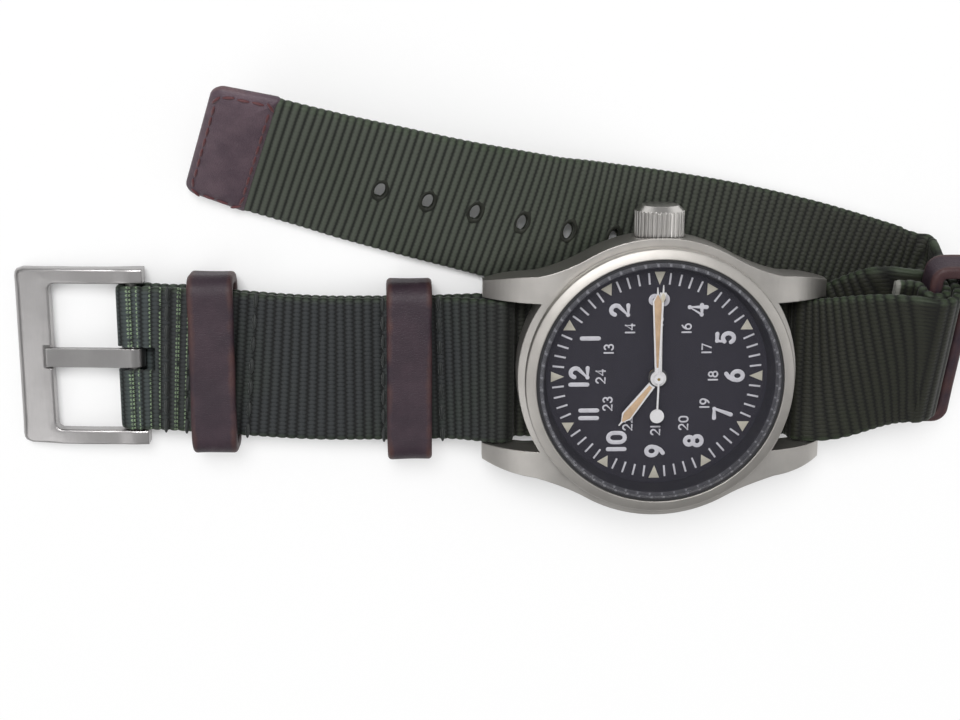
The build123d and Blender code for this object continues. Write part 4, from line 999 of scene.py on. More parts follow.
def arc_run(place: Plan, radius: float, start: float, end: float, step: float = 5.0) -> list[Plan]:
    """Points in side view round a centre.

    Args:
        place: The centre.
        radius: The radius.
        start: First angle in degrees from +X.
        end: Last angle.
        step: Degrees between points.

    Returns:
        The points, both ends included.
    """
    count = max(2, round(abs(end - start) / step))
    turns = [math.radians(start + (end - start) * index / count) for index in range(count + 1)]
    return [(place[0] + radius * math.cos(turn), place[1] + radius * math.sin(turn))
            for turn in turns]


@dataclass(frozen=True)
class Layout:
    """Sizes that the straps, keepers and buckle share, and the routes of both straps."""

    width: float = 20.0
    thick: float = 1.3
    ply_gap: float = 0.05
    twist_room: float = 0.45
    fit_gap: float = 0.05
    fold_length: float = 7.6
    fold_shares: tuple[Plan, ...] = ((1.0, 1.0), (0.7, 0.92), (0.42, 0.5), (0.2, 0.16))
    rise_radius: float = 12.0
    rise_deg: float = 25.0
    under_round: float = 1.0
    band_low_y: float = -0.3
    band_level_x: float = -42.0
    band_home_x: float = -34.0
    exit_deg: float = 105.0
    bar_x: float = 21.0
    bar_height: float = 1.1
    bar_radius: float = 0.75
    turn_x: float = 38.9
    turn_y: float = 4.7
    turn_roll: float = 22.0
    turn_gap: float = 0.1
    keeper_lift: float = 0.55
    fold_round: float = 1.3
    short_level_x: float = 20.5
    tail_round: float = 1.2
    tail_height: float = 2.8
    tail_length: float = 2.2
    return_reach: float = 60.0
    return_drift: float = 31.4
    return_roll: float = 34.0
    return_shares: tuple[tuple[float, float, float], ...] = (
        (0.585, 0.255, 0.0), (0.535, 0.288, 0.0), (0.45, 0.34, 0.008), (0.355, 0.393, 0.018),
        (0.24, 0.448, 0.04), (0.12, 0.4965, 0.088), (0.0, 0.538, 0.185), (-0.108, 0.574, 0.33),
        (-0.18, 0.6, 0.46), (-0.255, 0.628, 0.57), (-0.4, 0.694, 0.735), (-0.558, 0.768, 0.82),
        (-0.69, 0.832, 0.9), (-0.8, 0.891, 0.96), (-1.0, 1.0, 1.0))
    tip_lift_share: float = 0.75
    tip_wall: float = 0.5
    tip_side: float = 0.25
    tip_length: float = 8.2
    pin_x: float = -70.8
    buckle_y: float = 1.4
    pin_radius: float = 0.75
    end_wall: float = 1.7
    end_height: float = 4.0
    end_edge: float = 0.5
    level_steps: int = 60
    turn_steps: int = 24
    foot_steps: int = 20

    @property
    def half(self) -> float:
        """Half of the webbing's thickness."""
        return self.thick / 2

    @property
    def short_z(self) -> float:
        """Level of the short strap's middle along the left band."""
        return self.thick + self.twist_room + self.half

    @property
    def long_z(self) -> float:
        """Level of the long strap's middle along the left band."""
        return self.short_z + self.thick + self.ply_gap

    @property
    def back_z(self) -> float:
        """Underside of the case back."""
        return self.long_z + self.half + self.ply_gap

    @property
    def fold_radius(self) -> float:
        """Radius of the strap's middle round the buckle pin."""
        return self.pin_radius + self.fit_gap + self.half

    @property
    def pin_z(self) -> float:
        """Height of the buckle pin."""
        return self.long_z - self.fold_radius

    @property
    def keeper_foot(self) -> float:
        """Height of the end keeper's foot on its rolled axis."""
        roll = math.sin(math.radians(self.turn_roll))
        return self.half + self.fold_round + self.width / 2 * roll + self.keeper_lift

    @property
    def inner_ply_x(self) -> float:
        """Middle of the short strap's outer ply in the end keeper."""
        return self.turn_x - self.thick - self.turn_gap

    @property
    def wall_radius(self) -> float:
        """Radius of the webbing's middle round the end keeper's inner wall."""
        return self.end_wall / 2 + self.fit_gap + self.half

    @property
    def wall_x(self) -> float:
        """Middle of the end keeper's inner wall."""
        return self.inner_ply_x - self.wall_radius

    @property
    def wrap_high(self) -> Plan:
        """Centre of the bends over the end keeper's inner wall."""
        return (self.wall_x, self.end_height - self.end_edge)

    def band_y(self, x: float) -> float:
        """Sideways drift of the left band.

        Args:
            x: Place along the band.

        Returns:
            Distance of its middle to the crown's side.
        """
        if x > self.band_home_x:
            return self.band_low_y * ease((-self.bar_x - x) / (-self.bar_x - self.band_home_x))
        share = ease((x - self.pin_x) / (self.band_level_x - self.pin_x))
        return blend(self.buckle_y, self.band_low_y, share)

    def rolled(self, x: float, height: float) -> Station:
        """Station in the end keeper's frame, at a height up its rolled axis."""
        roll = math.radians(self.turn_roll)
        return (x, self.turn_y - height * math.sin(roll),
                self.keeper_foot + height * math.cos(roll), self.turn_roll)

    def left_run(self) -> list[Station]:
        """Leads the long strap from the fold's end round the pin and over both bars.

        Returns:
            Its stations.
        """
        bar_ply = self.bar_radius + self.fit_gap + self.half
        bar_z = self.back_z + self.bar_height
        low = self.pin_z - self.fold_radius
        fold = smooth_line([(self.pin_x + self.fold_length * x, self.short_z * z + low * (1 - z))
                            for x, z in self.fold_shares] + [(self.pin_x, low)], 6)
        fold += arc_run((self.pin_x, self.pin_z), self.fold_radius, -90, -270)
        rise = math.radians(self.rise_deg)
        rise_x = -self.bar_x - bar_ply * math.sin(rise)
        rise_z = bar_z + bar_ply * math.cos(rise)
        bend = self.rise_radius * (1 - math.cos(rise))
        bend_x = rise_x - (rise_z - self.long_z - bend) / math.tan(rise) \
            - self.rise_radius * math.sin(rise)
        level = [(blend(self.pin_x, bend_x, step / self.level_steps), self.long_z)
                 for step in range(1, self.level_steps)]
        high = (bend_x, self.long_z + self.rise_radius)
        floor_z = self.long_z + self.under_round
        level += arc_run(high, self.rise_radius, -90, self.rise_deg - 90, 2.0)
        level += arc_run((-self.bar_x, bar_z), bar_ply, 90 + self.rise_deg, 0)
        level += arc_run((self.under_round + bar_ply - self.bar_x, floor_z), self.under_round,
                         180, 270)
        level += arc_run((self.bar_x - bar_ply - self.under_round, floor_z), self.under_round,
                         270, 360)
        level += arc_run((self.bar_x, bar_z), bar_ply, 180, self.exit_deg)
        return [(x, self.buckle_y, z, 0.0) for x, z in fold] \
            + [(x, self.band_y(x), z, 0.0) for x, z in level]

    def long_route(self) -> list[Station]:
        """Leads the long strap from its sewn end to its tip.

        Returns:
            Its stations.
        """
        stations = self.left_run()
        turn = [self.rolled(*point) for point in
                arc_run(self.wrap_high, self.turn_x - self.wall_x, self.exit_deg, 0)]
        start, end = stations[-1], turn[0]
        for share in (step / self.turn_steps for step in range(1, self.turn_steps)):
            stations.append((blend(start[0], end[0], share), end[1] * ease(share),
                             blend(start[2], end[2], share), self.turn_roll * ease(share)))
        stations += turn
        stations.append(self.rolled(self.turn_x, 0.0))
        roll = math.radians(self.turn_roll)
        fold_start = self.half + self.fold_round
        fold_y = self.rolled(self.turn_x, (fold_start - self.keeper_foot) / math.cos(roll))[1]
        centre = (self.turn_x - self.fold_round, fold_start)
        for index, (x, z) in enumerate(arc_run(centre, self.fold_round, 0, -90)):
            swept = self.fold_round * math.radians(5.0) * index
            stations.append((x, fold_y + swept * math.tan(roll), z, 0.0))
        return stations + smooth_line([self.return_station(*s) for s in self.return_shares], 10)

    def return_station(self, x: float, y: float, turn: float) -> Station:
        """Places one station of the run back beneath the head.

        Args:
            x: Share of the run's reach.
            y: Share of its sideways drift.
            turn: Share of its roll.

        Returns:
            The station.
        """
        roll = math.radians(self.return_roll * turn)
        tip_lift = (self.tip_wall + self.tip_side) * ease(-x / self.tip_lift_share)
        lift = self.width / 2 * math.sin(roll) + self.half * math.cos(roll) + tip_lift
        return (self.return_reach * x, self.return_drift * y, lift, self.return_roll * turn)

    def short_route(self) -> list[Station]:
        """Leads the short strap from the fold to its sewn tail at the end keeper.

        Returns:
            Its stations.
        """
        start = self.pin_x + self.fold_length + self.turn_gap
        wrap_low = (self.inner_ply_x - self.under_round,
                    self.under_round - self.half - self.fit_gap)
        run = arc_run(wrap_low, self.under_round, -90, 0)
        run += arc_run(self.wrap_high, self.wall_radius, 0, 180)
        tail_x = self.wall_x - self.wall_radius - self.tail_round
        tail_z = wrap_low[1] + self.tail_height
        run += arc_run((tail_x, tail_z), self.tail_round, 0, -90)
        run.append((tail_x - self.tail_length, tail_z - self.tail_round))
        foot = self.rolled(self.wall_x - self.end_wall / 2 - self.turn_gap, run[0][1])
        level = [blend(start, self.short_level_x, step / self.level_steps)
                 for step in range(self.level_steps)]
        stations = [(x, self.band_y(x), self.short_z, 0.0) for x in level]
        for share in (step / self.foot_steps for step in range(self.foot_steps)):
            rise = ease(share)
            stations.append((blend(self.short_level_x, foot[0], share), foot[1] * rise,
                             blend(self.short_z, foot[2], rise), self.turn_roll * rise))
        return stations + [foot] + [self.rolled(*point) for point in run]


def smooth_line(points: Sequence[tuple[float, ...]], steps: int) -> list[tuple[float, ...]]:
    """Runs a smooth line through points.

    Args:
        points: The points, of any number of values.
        steps: Places on each stretch.

    Returns:
        The places on the line, both ends included.
    """
    padded = [points[0], *points, points[-1]]
    line = []
    for index in range(1, len(padded) - 2):
        before, start, end, after = padded[index - 1:index + 3]
        for step in range(steps):
            t = step / steps
            line.append(tuple(
                0.5 * (2 * b + (c - a) * t + (2 * a - 5 * b + 4 * c - d) * t ** 2
                       + (3 * b - a - 3 * c + d) * t ** 3)
                for a, b, c, d in zip(before, start, end, after)))
    return line + [tuple(points[-1])]


class Route:
    """A strap's path, which places a point given along and across the flat strap."""

    look = 0.25

    def __init__(self, stations: Sequence[Station], skew: float = 0.0,
                 skew_length: float = 60.0) -> None:
        """Measures the path.

        Args:
            stations: Middle of the strap as x, y, z and its roll in degrees.
            skew: How far the weave is pulled askew at the strap's end.
            skew_length: Length over which it is.
        """
        self.skew, self.skew_length = skew, skew_length
        self.points, self.rolls, self.marks = [], [], []
        for x, y, z, roll in stations:
            point = Vector((x, y, z))
            step = (point - self.points[-1]).length if self.points else 0.0
            if self.points and step < 1e-4:
                continue
            self.marks.append(self.marks[-1] + step if self.marks else 0.0)
            self.points.append(point)
            self.rolls.append(math.radians(roll))
        self.length = self.marks[-1]

    def spot(self, mark: float) -> tuple[Vector, float]:
        """Finds a place of the path, which runs on straight past its ends.

        Args:
            mark: Distance from the start.

        Returns:
            The strap's middle and its roll there.
        """
        index = min(max(bisect_right(self.marks, mark) - 1, 0), len(self.marks) - 2)
        share = (mark - self.marks[index]) / (self.marks[index + 1] - self.marks[index])
        held = min(1.0, max(0.0, share))
        return (self.points[index].lerp(self.points[index + 1], share),
                blend(self.rolls[index], self.rolls[index + 1], held))

    def frame(self, mark: float) -> tuple[Vector, Vector, Vector, float]:
        """Finds how the strap lies at a place of the path.

        Args:
            mark: Distance from the start.

        Returns:
            Its middle, its crosswise and outward directions, and the run's lean.
        """
        spot, roll = self.spot(mark)
        along = (self.spot(mark + self.look)[0] - self.spot(mark - self.look)[0]).normalized()
        across = Vector((0.0, math.cos(roll), math.sin(roll)))
        return spot, across, along.cross(across).normalized(), along.dot(across)

    def place(self, along: float, across: float, height: float) -> Vector:
        """Places a point of the flat strap.

        Args:
            along: Distance from the strap's start.
            across: Distance from its middle line, the crown's side positive.
            height: Distance from its middle ply, the outer face positive.

        Returns:
            The point in the frame, in millimetres.
        """
        along -= self.skew * across * ease(1 - (self.length - along) / self.skew_length)
        mark = along
        for _ in range(3):
            lean = self.frame(mark)[3]
            mark = along - across * lean / math.sqrt(1 - lean ** 2)
        spot, sideways, outward, lean = self.frame(mark)
        return spot + sideways * (across / math.sqrt(1 - lean ** 2)) + outward * height


@dataclass(frozen=True)
class Opening:
    """A hole in the flat strap: an oval, or a slot with square corners."""

    along: float
    across: float
    half_along: float
    half_across: float
    square: bool = False
    slant: float = 0.0

    def reach(self, along: float, across: float) -> float:
        """How far out a place is, where 1 is the opening's edge."""
        a = abs(along - self.along) / self.half_along
        b = abs(across - self.across) / self.half_across
        return max(a, b) if self.square else math.hypot(a, b)

    def snapped(self, along: float, across: float) -> Plan:
        """Moves a place on to the opening's edge."""
        reach = self.reach(along, across)
        return (self.along + (along - self.along) / reach,
                self.across + (across - self.across) / reach)


@dataclass
class StrapPiece:
    """One length of ribbed webbing, with its openings."""

    name: str
    route: Route
    finish: Finish
    nodes: tuple[str, ...]
    rests_on: tuple[str, ...]
    end: float
    openings: tuple[Opening, ...] = ()
    pitch: float = 1.25
    far_pitch: float = 1.04
    far_from: float = 1e6
    layout: Layout = Layout()
    rows_per_rib: int = 6
    depth: float = 0.15
    sharpness: float = 0.7
    columns: tuple[float, ...] = (0.0, 0.45, 0.9, 1.35, 1.65, 2.2, 3.2, 4.2, 5.2, 6.2, 7.2, 8.2,
                                  9.1, 9.65, 9.9, 10.0)
    edge_levels: tuple[float, ...] = (0.93, 0.7, 0.35)

    def phase(self, along: float) -> float:
        """Number of ribs up to a place along the strap."""
        near = min(along, self.far_from) / self.pitch
        return near + max(0.0, along - self.far_from) / self.far_pitch

    def rows(self) -> list[float]:
        """Places of the mesh's rows along the strap."""
        step = self.pitch / self.rows_per_rib
        count = math.ceil(self.end / step)
        return [self.end * index / count for index in range(count + 1)]

    def build(self, bench: Bench) -> None:
        """Makes the webbing, a thin sheet, and keeps it on the head.

        Args:
            bench: The bench that makes meshes.
        """
        rows = self.rows()
        columns = [-c for c in reversed(self.columns[1:])] + list(self.columns)
        levels = [1.0] * (len(self.columns) - len(self.edge_levels)) + list(self.edge_levels)
        levels = levels[:0:-1] + levels
        tall, wide = len(rows), len(columns)
        grid = [[(u, w) for w in columns] for u in rows]
        gone, slants = self._cut(rows, columns, grid)
        points, flats, phases = [], [], []
        for side in (1, -1):
            for i, line in enumerate(grid):
                for j, (u, w) in enumerate(line):
                    w += slants.get((i, j), 0.0) if side > 0 else 0.0
                    points.append(self.route.place(u, w, side * levels[j] * self.layout.half))
                    flats += (u * MM, w * MM, 0.0)
                    phases.append(self.phase(u))
        faces = []
        for i in range(tall - 1):
            for j in range(wide - 1):
                if (i, j) not in gone:
                    faces += self._cell(i, j, tall, wide, gone)
        piece = bench.mesh(self.name, points, faces, self.finish)
        layer = piece.data.attributes.new("flat", "FLOAT_VECTOR", "POINT")
        layer.data.foreach_set("vector", flats)
        bench.attribute(piece, "rib", phases)
        bench.ribs.run(piece, self.finish, Depth=self.depth * MM, Sharpness=self.sharpness)
        self._trim(piece)
        bench.smooth(piece, 60)
        bench.keep(piece, Body.HEAD, Slot.WEBBING, *self.nodes)
        self.layout.width * MM
        self.end * MM
        list(self.rests_on)

    def _cut(self, rows: list[float], columns: list[float],
             grid: list[list[Plan]]) -> tuple[set[tuple[int, int]], dict[tuple[int, int], float]]:
        """Finds the cells inside openings, and draws the grid's corners on to their edges.

        Args:
            rows: Places of the rows along the strap.
            columns: Places of the columns across it.
            grid: Place of each corner, which is changed.

        Returns:
            The cells that are cut out, and how far each rim's corner slants.
        """
        gone, slants = set(), {}
        for hole in self.openings:
            first = max(0, bisect_right(rows, hole.along - hole.half_along - 1) - 1)
            last = min(len(rows) - 1, bisect_right(rows, hole.along + hole.half_along + 1) + 1)
            cut = {(i, j) for i in range(first, last) for j in range(len(columns) - 1)
                   if hole.reach((rows[i] + rows[i + 1]) / 2,
                                 (columns[j] + columns[j + 1]) / 2) < 1}
            rim = Counter((i + a, j + b) for i, j in cut for a in (0, 1) for b in (0, 1))
            for (i, j), count in rim.items():
                if count < 4 and hole.reach(*grid[i][j]) > 1e-6:
                    grid[i][j] = hole.snapped(*grid[i][j])
                    slants[i, j] = hole.slant
            gone |= cut
        return gone, slants

    @staticmethod
    def _cell(i: int, j: int, tall: int, wide: int, gone: set[tuple[int, int]]) -> list[Face]:
        """Makes one cell of the grid.

        Args:
            i: The cell's row.
            j: Its column.
            tall: Corners along the strap.
            wide: Corners across it.
            gone: Cells that are cut out.

        Returns:
            Faces of its top and underside, and of a wall on each open side.
        """
        under = tall * wide
        a, b = i * wide + j, (i + 1) * wide + j
        faces = [(a, b, b + 1, a + 1), (a + under, a + 1 + under, b + 1 + under, b + under)]
        sides = (((i - 1, j), (a, a + 1)), ((i + 1, j), (b + 1, b)),
                 ((i, j - 1), (b, a)), ((i, j + 1), (a + 1, b + 1)))
        for (ni, nj), (p, q) in sides:
            if ni < 0 or nj < 0 or ni >= tall - 1 or nj >= wide - 1 or (ni, nj) in gone:
                faces.append((p, q, q + under, p + under))
        return faces

    @staticmethod
    def _trim(piece: bpy.types.Object) -> None:
        """Drops corners that no face uses, and keeps the ribs off the table.

        Args:
            piece: The webbing.
        """
        with reshaped(piece.data) as form:
            loose = [vert for vert in form.verts if not vert.link_faces]
            bmesh.ops.delete(form, geom=loose, context="VERTS")
            for vert in form.verts:
                vert.co.z = max(0.0, vert.co.z)


@dataclass
class Strap:
    """Both lengths of webbing, their eyelets and their sewn rows."""

    bench: Bench
    layout: Layout = Layout()
    hole_count: int = 7
    hole_pitch: float = 6.5
    hole_first: float = 24.0
    hole_width: float = 1.75
    hole_length: float = 2.8
    hole_slant: float = -0.62
    slot_width: float = 3.3
    slot_over: float = 3.4
    slot_under: float = 1.4
    thread: float = 0.3
    row_pitch: float = 2.62
    row_share: float = 0.8
    tip_skew: float = 0.06
    tip_hold: float = 2.0
    far_length: float = 95.0
    fold_x: float = -66.2
    turn_x: float = -28.0
    turn_done: float = 170.0
    tail_from: float = 105.0
    tail_full: float = 25.0
    sealed_length: float = 0.8
    rim: float = 0.24
    rim_flat: float = 0.62
    rim_sunk: float = 0.12
    row_stitches: int = 7
    row_raised: float = 0.02
    mark_step: float = 0.1
    mark_steps: int = 480
    pale_x: tuple[float, ...] = (-71.4, -70.7, -69.9, -68.3, -67.0, -64.85, -64.5, -63.45)
    row_x: tuple[float, ...] = (-66.1, -63.1, -54.6, -36.8, -28.9)
    long: Route = field(init=False)
    short: Route = field(init=False)

    def __post_init__(self) -> None:
        """Works out both routes."""
        self.long = Route(self.layout.long_route(), self.tip_skew)
        self.short = Route(self.layout.short_route())

    def openings(self) -> tuple[Opening, ...]:
        """The seven oval holes of the run back, and the tongue's slot in the fold.

        Returns:
            The holes from the tip inwards, then the slot.
        """
        tip = self.long.length
        holes = [Opening(tip - self.hole_first - index * self.hole_pitch, 0.0,
                         self.hole_width / 2, self.hole_length / 2, slant=self.hole_slant)
                 for index in range(self.hole_count)]
        quarter = math.pi * self.layout.fold_radius / 2
        middle = self.layout.fold_length + quarter + (self.slot_over - self.slot_under) / 2
        reach = quarter + (self.slot_over + self.slot_under) / 2
        return (*holes, Opening(middle, 0.0, reach, self.slot_width / 2, True))

    def build(self) -> None:
        """Makes both straps and what is sewn or sealed on them."""
        tip = self.long.length
        # The tone along the long strap, darker round the head and paler on the run back, is painted
        # light and shade.
        cloth = Webbing("green webbing", fold_end=self._mark(self.fold_x) * MM,
                        turn=(self._mark(self.turn_x) * MM, (tip - self.turn_done) * MM),
                        tail=((tip - self.tail_from) * MM, (tip - self.tail_full) * MM),
                        pale_rows=tuple(self._mark(x) * MM for x in self.pale_x))
        StrapPiece("long_webbing", self.long, cloth, ("long_strap",), ("spring_bar_12",),
                   tip - self.layout.tip_length + self.tip_hold, self.openings(),
                   far_from=tip - self.far_length).build(self.bench)
        plain = Webbing("inner webbing", turn=(0.03, 0.08), tail=(1.0, 1.1),
                        sealed_from=(self.short.length - self.sealed_length) * MM)
        StrapPiece("short_webbing", self.short, plain, ("short_strap",), ("keeper_end",),
                   self.short.length).build(self.bench)
        self._eyelets()
        self._rows()
        LOG.info("long strap %.1f mm, short strap %.1f mm", self.long.length, self.short.length)

    def _eyelets(self) -> None:
        """Makes the melted rims of the holes, as one piece."""
        rim, steps, sides = self.rim, 36, 10
        points, faces = [], []
        for hole in self.openings()[:self.hole_count]:
            for side in (1, -1):
                faces += tube_faces(steps, sides, True, len(points))
                for turn in (math.tau * step / steps for step in range(steps)):
                    for angle in (math.tau * part / sides for part in range(sides)):
                        out = 1.0 + rim * (0.35 + math.cos(angle)) / hole.half_along
                        points.append(self.long.place(
                            hole.along + hole.half_along * out * math.cos(turn),
                            hole.half_across * out * math.sin(turn) + hole.slant * (side > 0),
                            side * (self.layout.half - self.rim_sunk)
                            + rim * self.rim_flat * math.sin(angle)))
        piece = self.bench.smooth(self.bench.mesh("hole_rims", points, faces, MELTED), 80)
        self.bench.keep(piece, Body.HEAD, Slot.WEBBING)

    def _rows(self) -> None:
        """Sews the rows of long stitches beside the keepers."""
        points, edges = [], []
        for mark in map(self._mark, self.row_x):
            edges += chain(len(points), self.row_stitches + 1)
            points += [self.long.place(mark, self.row_pitch * (k - self.row_stitches / 2),
                                       self.layout.half + self.row_raised)
                       for k in range(self.row_stitches + 1)]
        rows = self.bench.mesh("keeper_stitches", points, [], STRAP_THREAD, edges)
        self.bench.stitches.run(rows, STRAP_THREAD, Pitch=self.row_pitch * MM,
                                Radius=self.thread * MM, Share=self.row_share)
        self.bench.keep(self.bench.smooth(rows, 80), Body.HEAD, Slot.WEBBING)

    def _mark(self, x: float) -> float:
        """Distance along the long strap of its upper ply at an x of the left band."""
        start = self.layout.fold_length + math.pi * self.layout.fold_radius
        marks = (start + step * self.mark_step for step in range(self.mark_steps))
        return min((abs(self.long.spot(mark)[0].x - x), mark) for mark in marks)[1]


@dataclass
class LeatherLoop:
    """A leather loop swept round a rounded rectangle, with rubbed edges."""

    name: str
    node: str
    centre: Vector
    axes: tuple[Vector, Vector, Vector]
    span: float
    height: float
    width: float
    wall: float
    round: float
    edge: float
    hollow: float = 0.048
    rubbed_width: float = 0.95
    rubbed_corner: float = 2.6
    uneven: float = 0.09

    def path(self) -> list[tuple[Vector, Vector]]:
        """Middle of the wall round the loop, with the outward direction at each place.

        Returns:
            Each place with its direction.
        """
        radius = self.round - self.wall / 2
        half_span, half_height = (self.span - self.wall) / 2, (self.height - self.wall) / 2
        places = []
        for sign_y, sign_z, start in CORNERS:
            corner = Vector((sign_y * (half_span - radius), sign_z * (half_height - radius)))
            for out in map(Vector, arc_run((0.0, 0.0), 1.0, start, start + 90, 11.25)):
                places.append((corner + out * radius, out))
            last, out = places[-1]
            flip, count = ((-1, 1), 24) if sign_y == sign_z else ((1, -1), 8)
            far = last * Vector(flip)
            places += [(last.lerp(far, k / count), out) for k in range(1, count)]
        return places

    def section(self) -> list[tuple[float, float, float]]:
        """Section of the wall: crosswise, outward and how much each place is rubbed.

        Returns:
            The places.
        """
        half, deep, edge = self.width / 2, self.wall / 2, self.edge
        ring = []
        for sign_x, sign_o, start in CORNERS:
            bend = (sign_x * (half - edge), sign_o * (deep - edge))
            ring += [(*place, 1.0) for place in arc_run(bend, edge, start, start + 90, 22.5)]
            if sign_x != sign_o:
                ring.append((sign_x * half, 0.0, 0.75))
                continue
            for share in (0.1, 0.22, 0.36, 0.5, 0.64, 0.78, 0.9):
                rubbed = max(0.0, 1 - min(share, 1 - share) * self.width / self.rubbed_width)
                dip = self.hollow * math.sin(math.pi * share) if sign_o > 0 else 0.0
                ring.append((sign_x * (half - edge) * (1 - 2 * share), sign_o * (deep - dip),
                             rubbed * 0.9))
        return ring

    def build(self, bench: Bench) -> None:
        """Makes and keeps the loop.

        Args:
            bench: The bench that makes meshes.
        """
        across, wide, tall = self.axes
        path, section = self.path(), self.section()
        points, rubbed = [], []
        for spot, out in path:
            corner = max(0.0, 1 - abs(abs(spot.x) - (self.span - self.wall) / 2)
                         / self.rubbed_corner)
            for x, deep, edge in section:
                flat = spot + out * deep
                point = self.centre + across * x + wide * flat.x + tall * flat.y
                points.append(point + noise.noise_vector(point * 0.22) * self.uneven)
                rubbed.append(min(1.0, edge * (0.5 + 0.5 * noise.noise(point * 0.3) + 0.25)
                                  + corner * 0.45 * edge))
        piece = bench.mesh(self.name, points, tube_faces(len(path), len(section), True), LEATHER)
        bench.attribute(piece, "burnish", rubbed)
        bench.keep(bench.smooth(piece, 70), Body.HEAD, Slot.LEATHER, self.node)


@dataclass
class Leatherwork:
    """Three keepers, and the sewn leather cap at the strap's tip."""

    bench: Bench
    strap: Strap
    layout: Layout = Layout()
    keeper_width: float = 6.1
    keeper_side: float = 0.75
    keeper_wall: float = 1.65
    keeper_spare: float = 1.5
    keeper_round: float = 2.5
    keeper_edge: float = 0.55
    keeper_places: tuple[float, ...] = (-59.7, -33.2)
    end_side: float = 0.9
    end_shift: float = 0.5
    end_round: float = 2.0
    end_edge: float = 0.5
    end_hollow: float = 0.02
    tip_round: float = 1.5
    tip_taper: float = 0.09
    tip_rim: tuple[Plan, ...] = (
        (0.0, 0.0), (0.06, 0.26), (0.2, 0.44), (0.45, 0.58), (0.8, 0.72), (1.15, 0.8), (1.6, 0.9),
        (2.2, 0.97), (2.8, 1.0), (3.3, 1.02), (3.9, 1.03))
    seam_inset: float = 0.95
    seam_pitch: float = 1.95
    seam_thread: float = 0.21
    seam_depth: float = 0.78
    seam_share: float = 0.82
    tip_uneven: float = 0.06

    def build(self) -> None:
        """Makes every leather piece and the tip's seam."""
        span = self.layout.width + 2 * (self.keeper_side + self.keeper_wall)
        height = self.layout.long_z + self.layout.half + self.keeper_spare + self.keeper_wall
        plain = (Vector((1, 0, 0)), Vector((0, 1, 0)), Vector((0, 0, 1)))
        for index, x in enumerate(self.keeper_places, 1):
            centre = Vector((x, self.layout.band_y(x), height / 2))
            LeatherLoop(f"leather_keeper_{index}", f"keeper_{index}", centre, plain, span, height,
                        self.keeper_width, self.keeper_wall, self.keeper_round,
                        self.keeper_edge).build(self.bench)
        self._end_keeper()
        self._tip()

    def _end_keeper(self) -> None:
        """Makes the loop that stands on edge round both plies past 6 o'clock."""
        layout = self.layout
        roll = math.radians(layout.turn_roll)
        low = layout.wall_x - layout.end_wall / 2
        high = layout.turn_x + layout.half + layout.turn_gap + layout.end_wall
        spot = Vector(layout.rolled((low + high) / 2, layout.end_height / 2)[:3])
        sideways = Vector((0, math.cos(roll), math.sin(roll)))
        upwards = Vector((0, -math.sin(roll), math.cos(roll)))
        LeatherLoop("leather_keeper_end", "keeper_end", spot + sideways * self.end_shift,
                    (upwards, sideways, Vector((1, 0, 0))),
                    layout.width + 2 * (self.end_side + layout.end_wall), high - low,
                    layout.end_height, layout.end_wall, self.end_round, self.end_edge,
                    self.end_hollow).build(self.bench)

    def _outline(self, inset: float, count: int = 10) -> list[Plan]:
        """Rounded outline of the tip, as distances from its middle.

        Args:
            inset: How far in from the edge it lies.
            count: Steps round each corner.

        Returns:
            The places.
        """
        half_u = (self.layout.tip_length + self.layout.tip_wall) / 2 - inset
        half_w = self.layout.width / 2 + self.layout.tip_side - inset
        places = []
        for sign_u, sign_w, start in CORNERS:
            radius = max(0.05, (self.tip_round if sign_u > 0 else 0.5) - inset * 0.8)
            bend = (sign_u * (half_u - radius), sign_w * (half_w - radius))
            for u, w in arc_run(bend, radius, start, start + 90, 90 / count):
                share = (u + half_u + inset) / (2 * (half_u + inset))
                places.append((u, w * (1 - self.tip_taper * share ** 2)))
        return places

    def _tip(self) -> None:
        """Makes the cap over the strap's end and the seam round it."""
        route, layout = self.strap.long, self.layout
        middle = route.length - (layout.tip_length - layout.tip_wall) / 2
        thick = layout.half + layout.tip_wall
        rings = [(inset, level * thick) for inset, level in self.tip_rim]
        rings = [(inset, -level) for inset, level in reversed(rings[1:])] + rings
        points, rubbed = [], []
        for inset, height in rings:
            for u, w in self._outline(inset):
                point = route.place(middle + u, w, height)
                points.append(point + noise.noise_vector(point * 0.3) * self.tip_uneven)
                rubbed.append(max(0.0, 1 - inset / 0.9) * (0.55 + 0.5 * noise.noise(point * 0.5)))
        faces = tube_faces(len(rings), len(points) // len(rings))
        piece = self.bench.mesh("leather_tip", points, faces, TIP_LEATHER)
        self.bench.attribute(piece, "burnish", rubbed)
        self.bench.keep(self.bench.smooth(piece, 70), Body.HEAD, Slot.LEATHER, "strap_tip")
        self._tip_seam(middle, thick)

    def _tip_seam(self, middle: float, thick: float) -> None:
        """Sews the thread round the cap, on both faces.

        Args:
            middle: Place of the cap's middle along the strap.
            thick: Half of the cap's thickness.
        """
        points, edges = [], []
        seam = self._outline(self.seam_inset, 3)
        for side in (1, -1):
            edges += chain(len(points), len(seam), True)
            points += [self.strap.long.place(middle + u, w, side * thick * self.seam_depth)
                       for u, w in seam]
        piece = self.bench.mesh("tip_seam", points, [], LEATHER_THREAD, edges)
        self.bench.stitches.run(piece, LEATHER_THREAD, Pitch=self.seam_pitch * MM,
                                Radius=self.seam_thread * MM, Share=self.seam_share)
        self.bench.keep(self.bench.smooth(piece, 80), Body.HEAD, Slot.LEATHER)


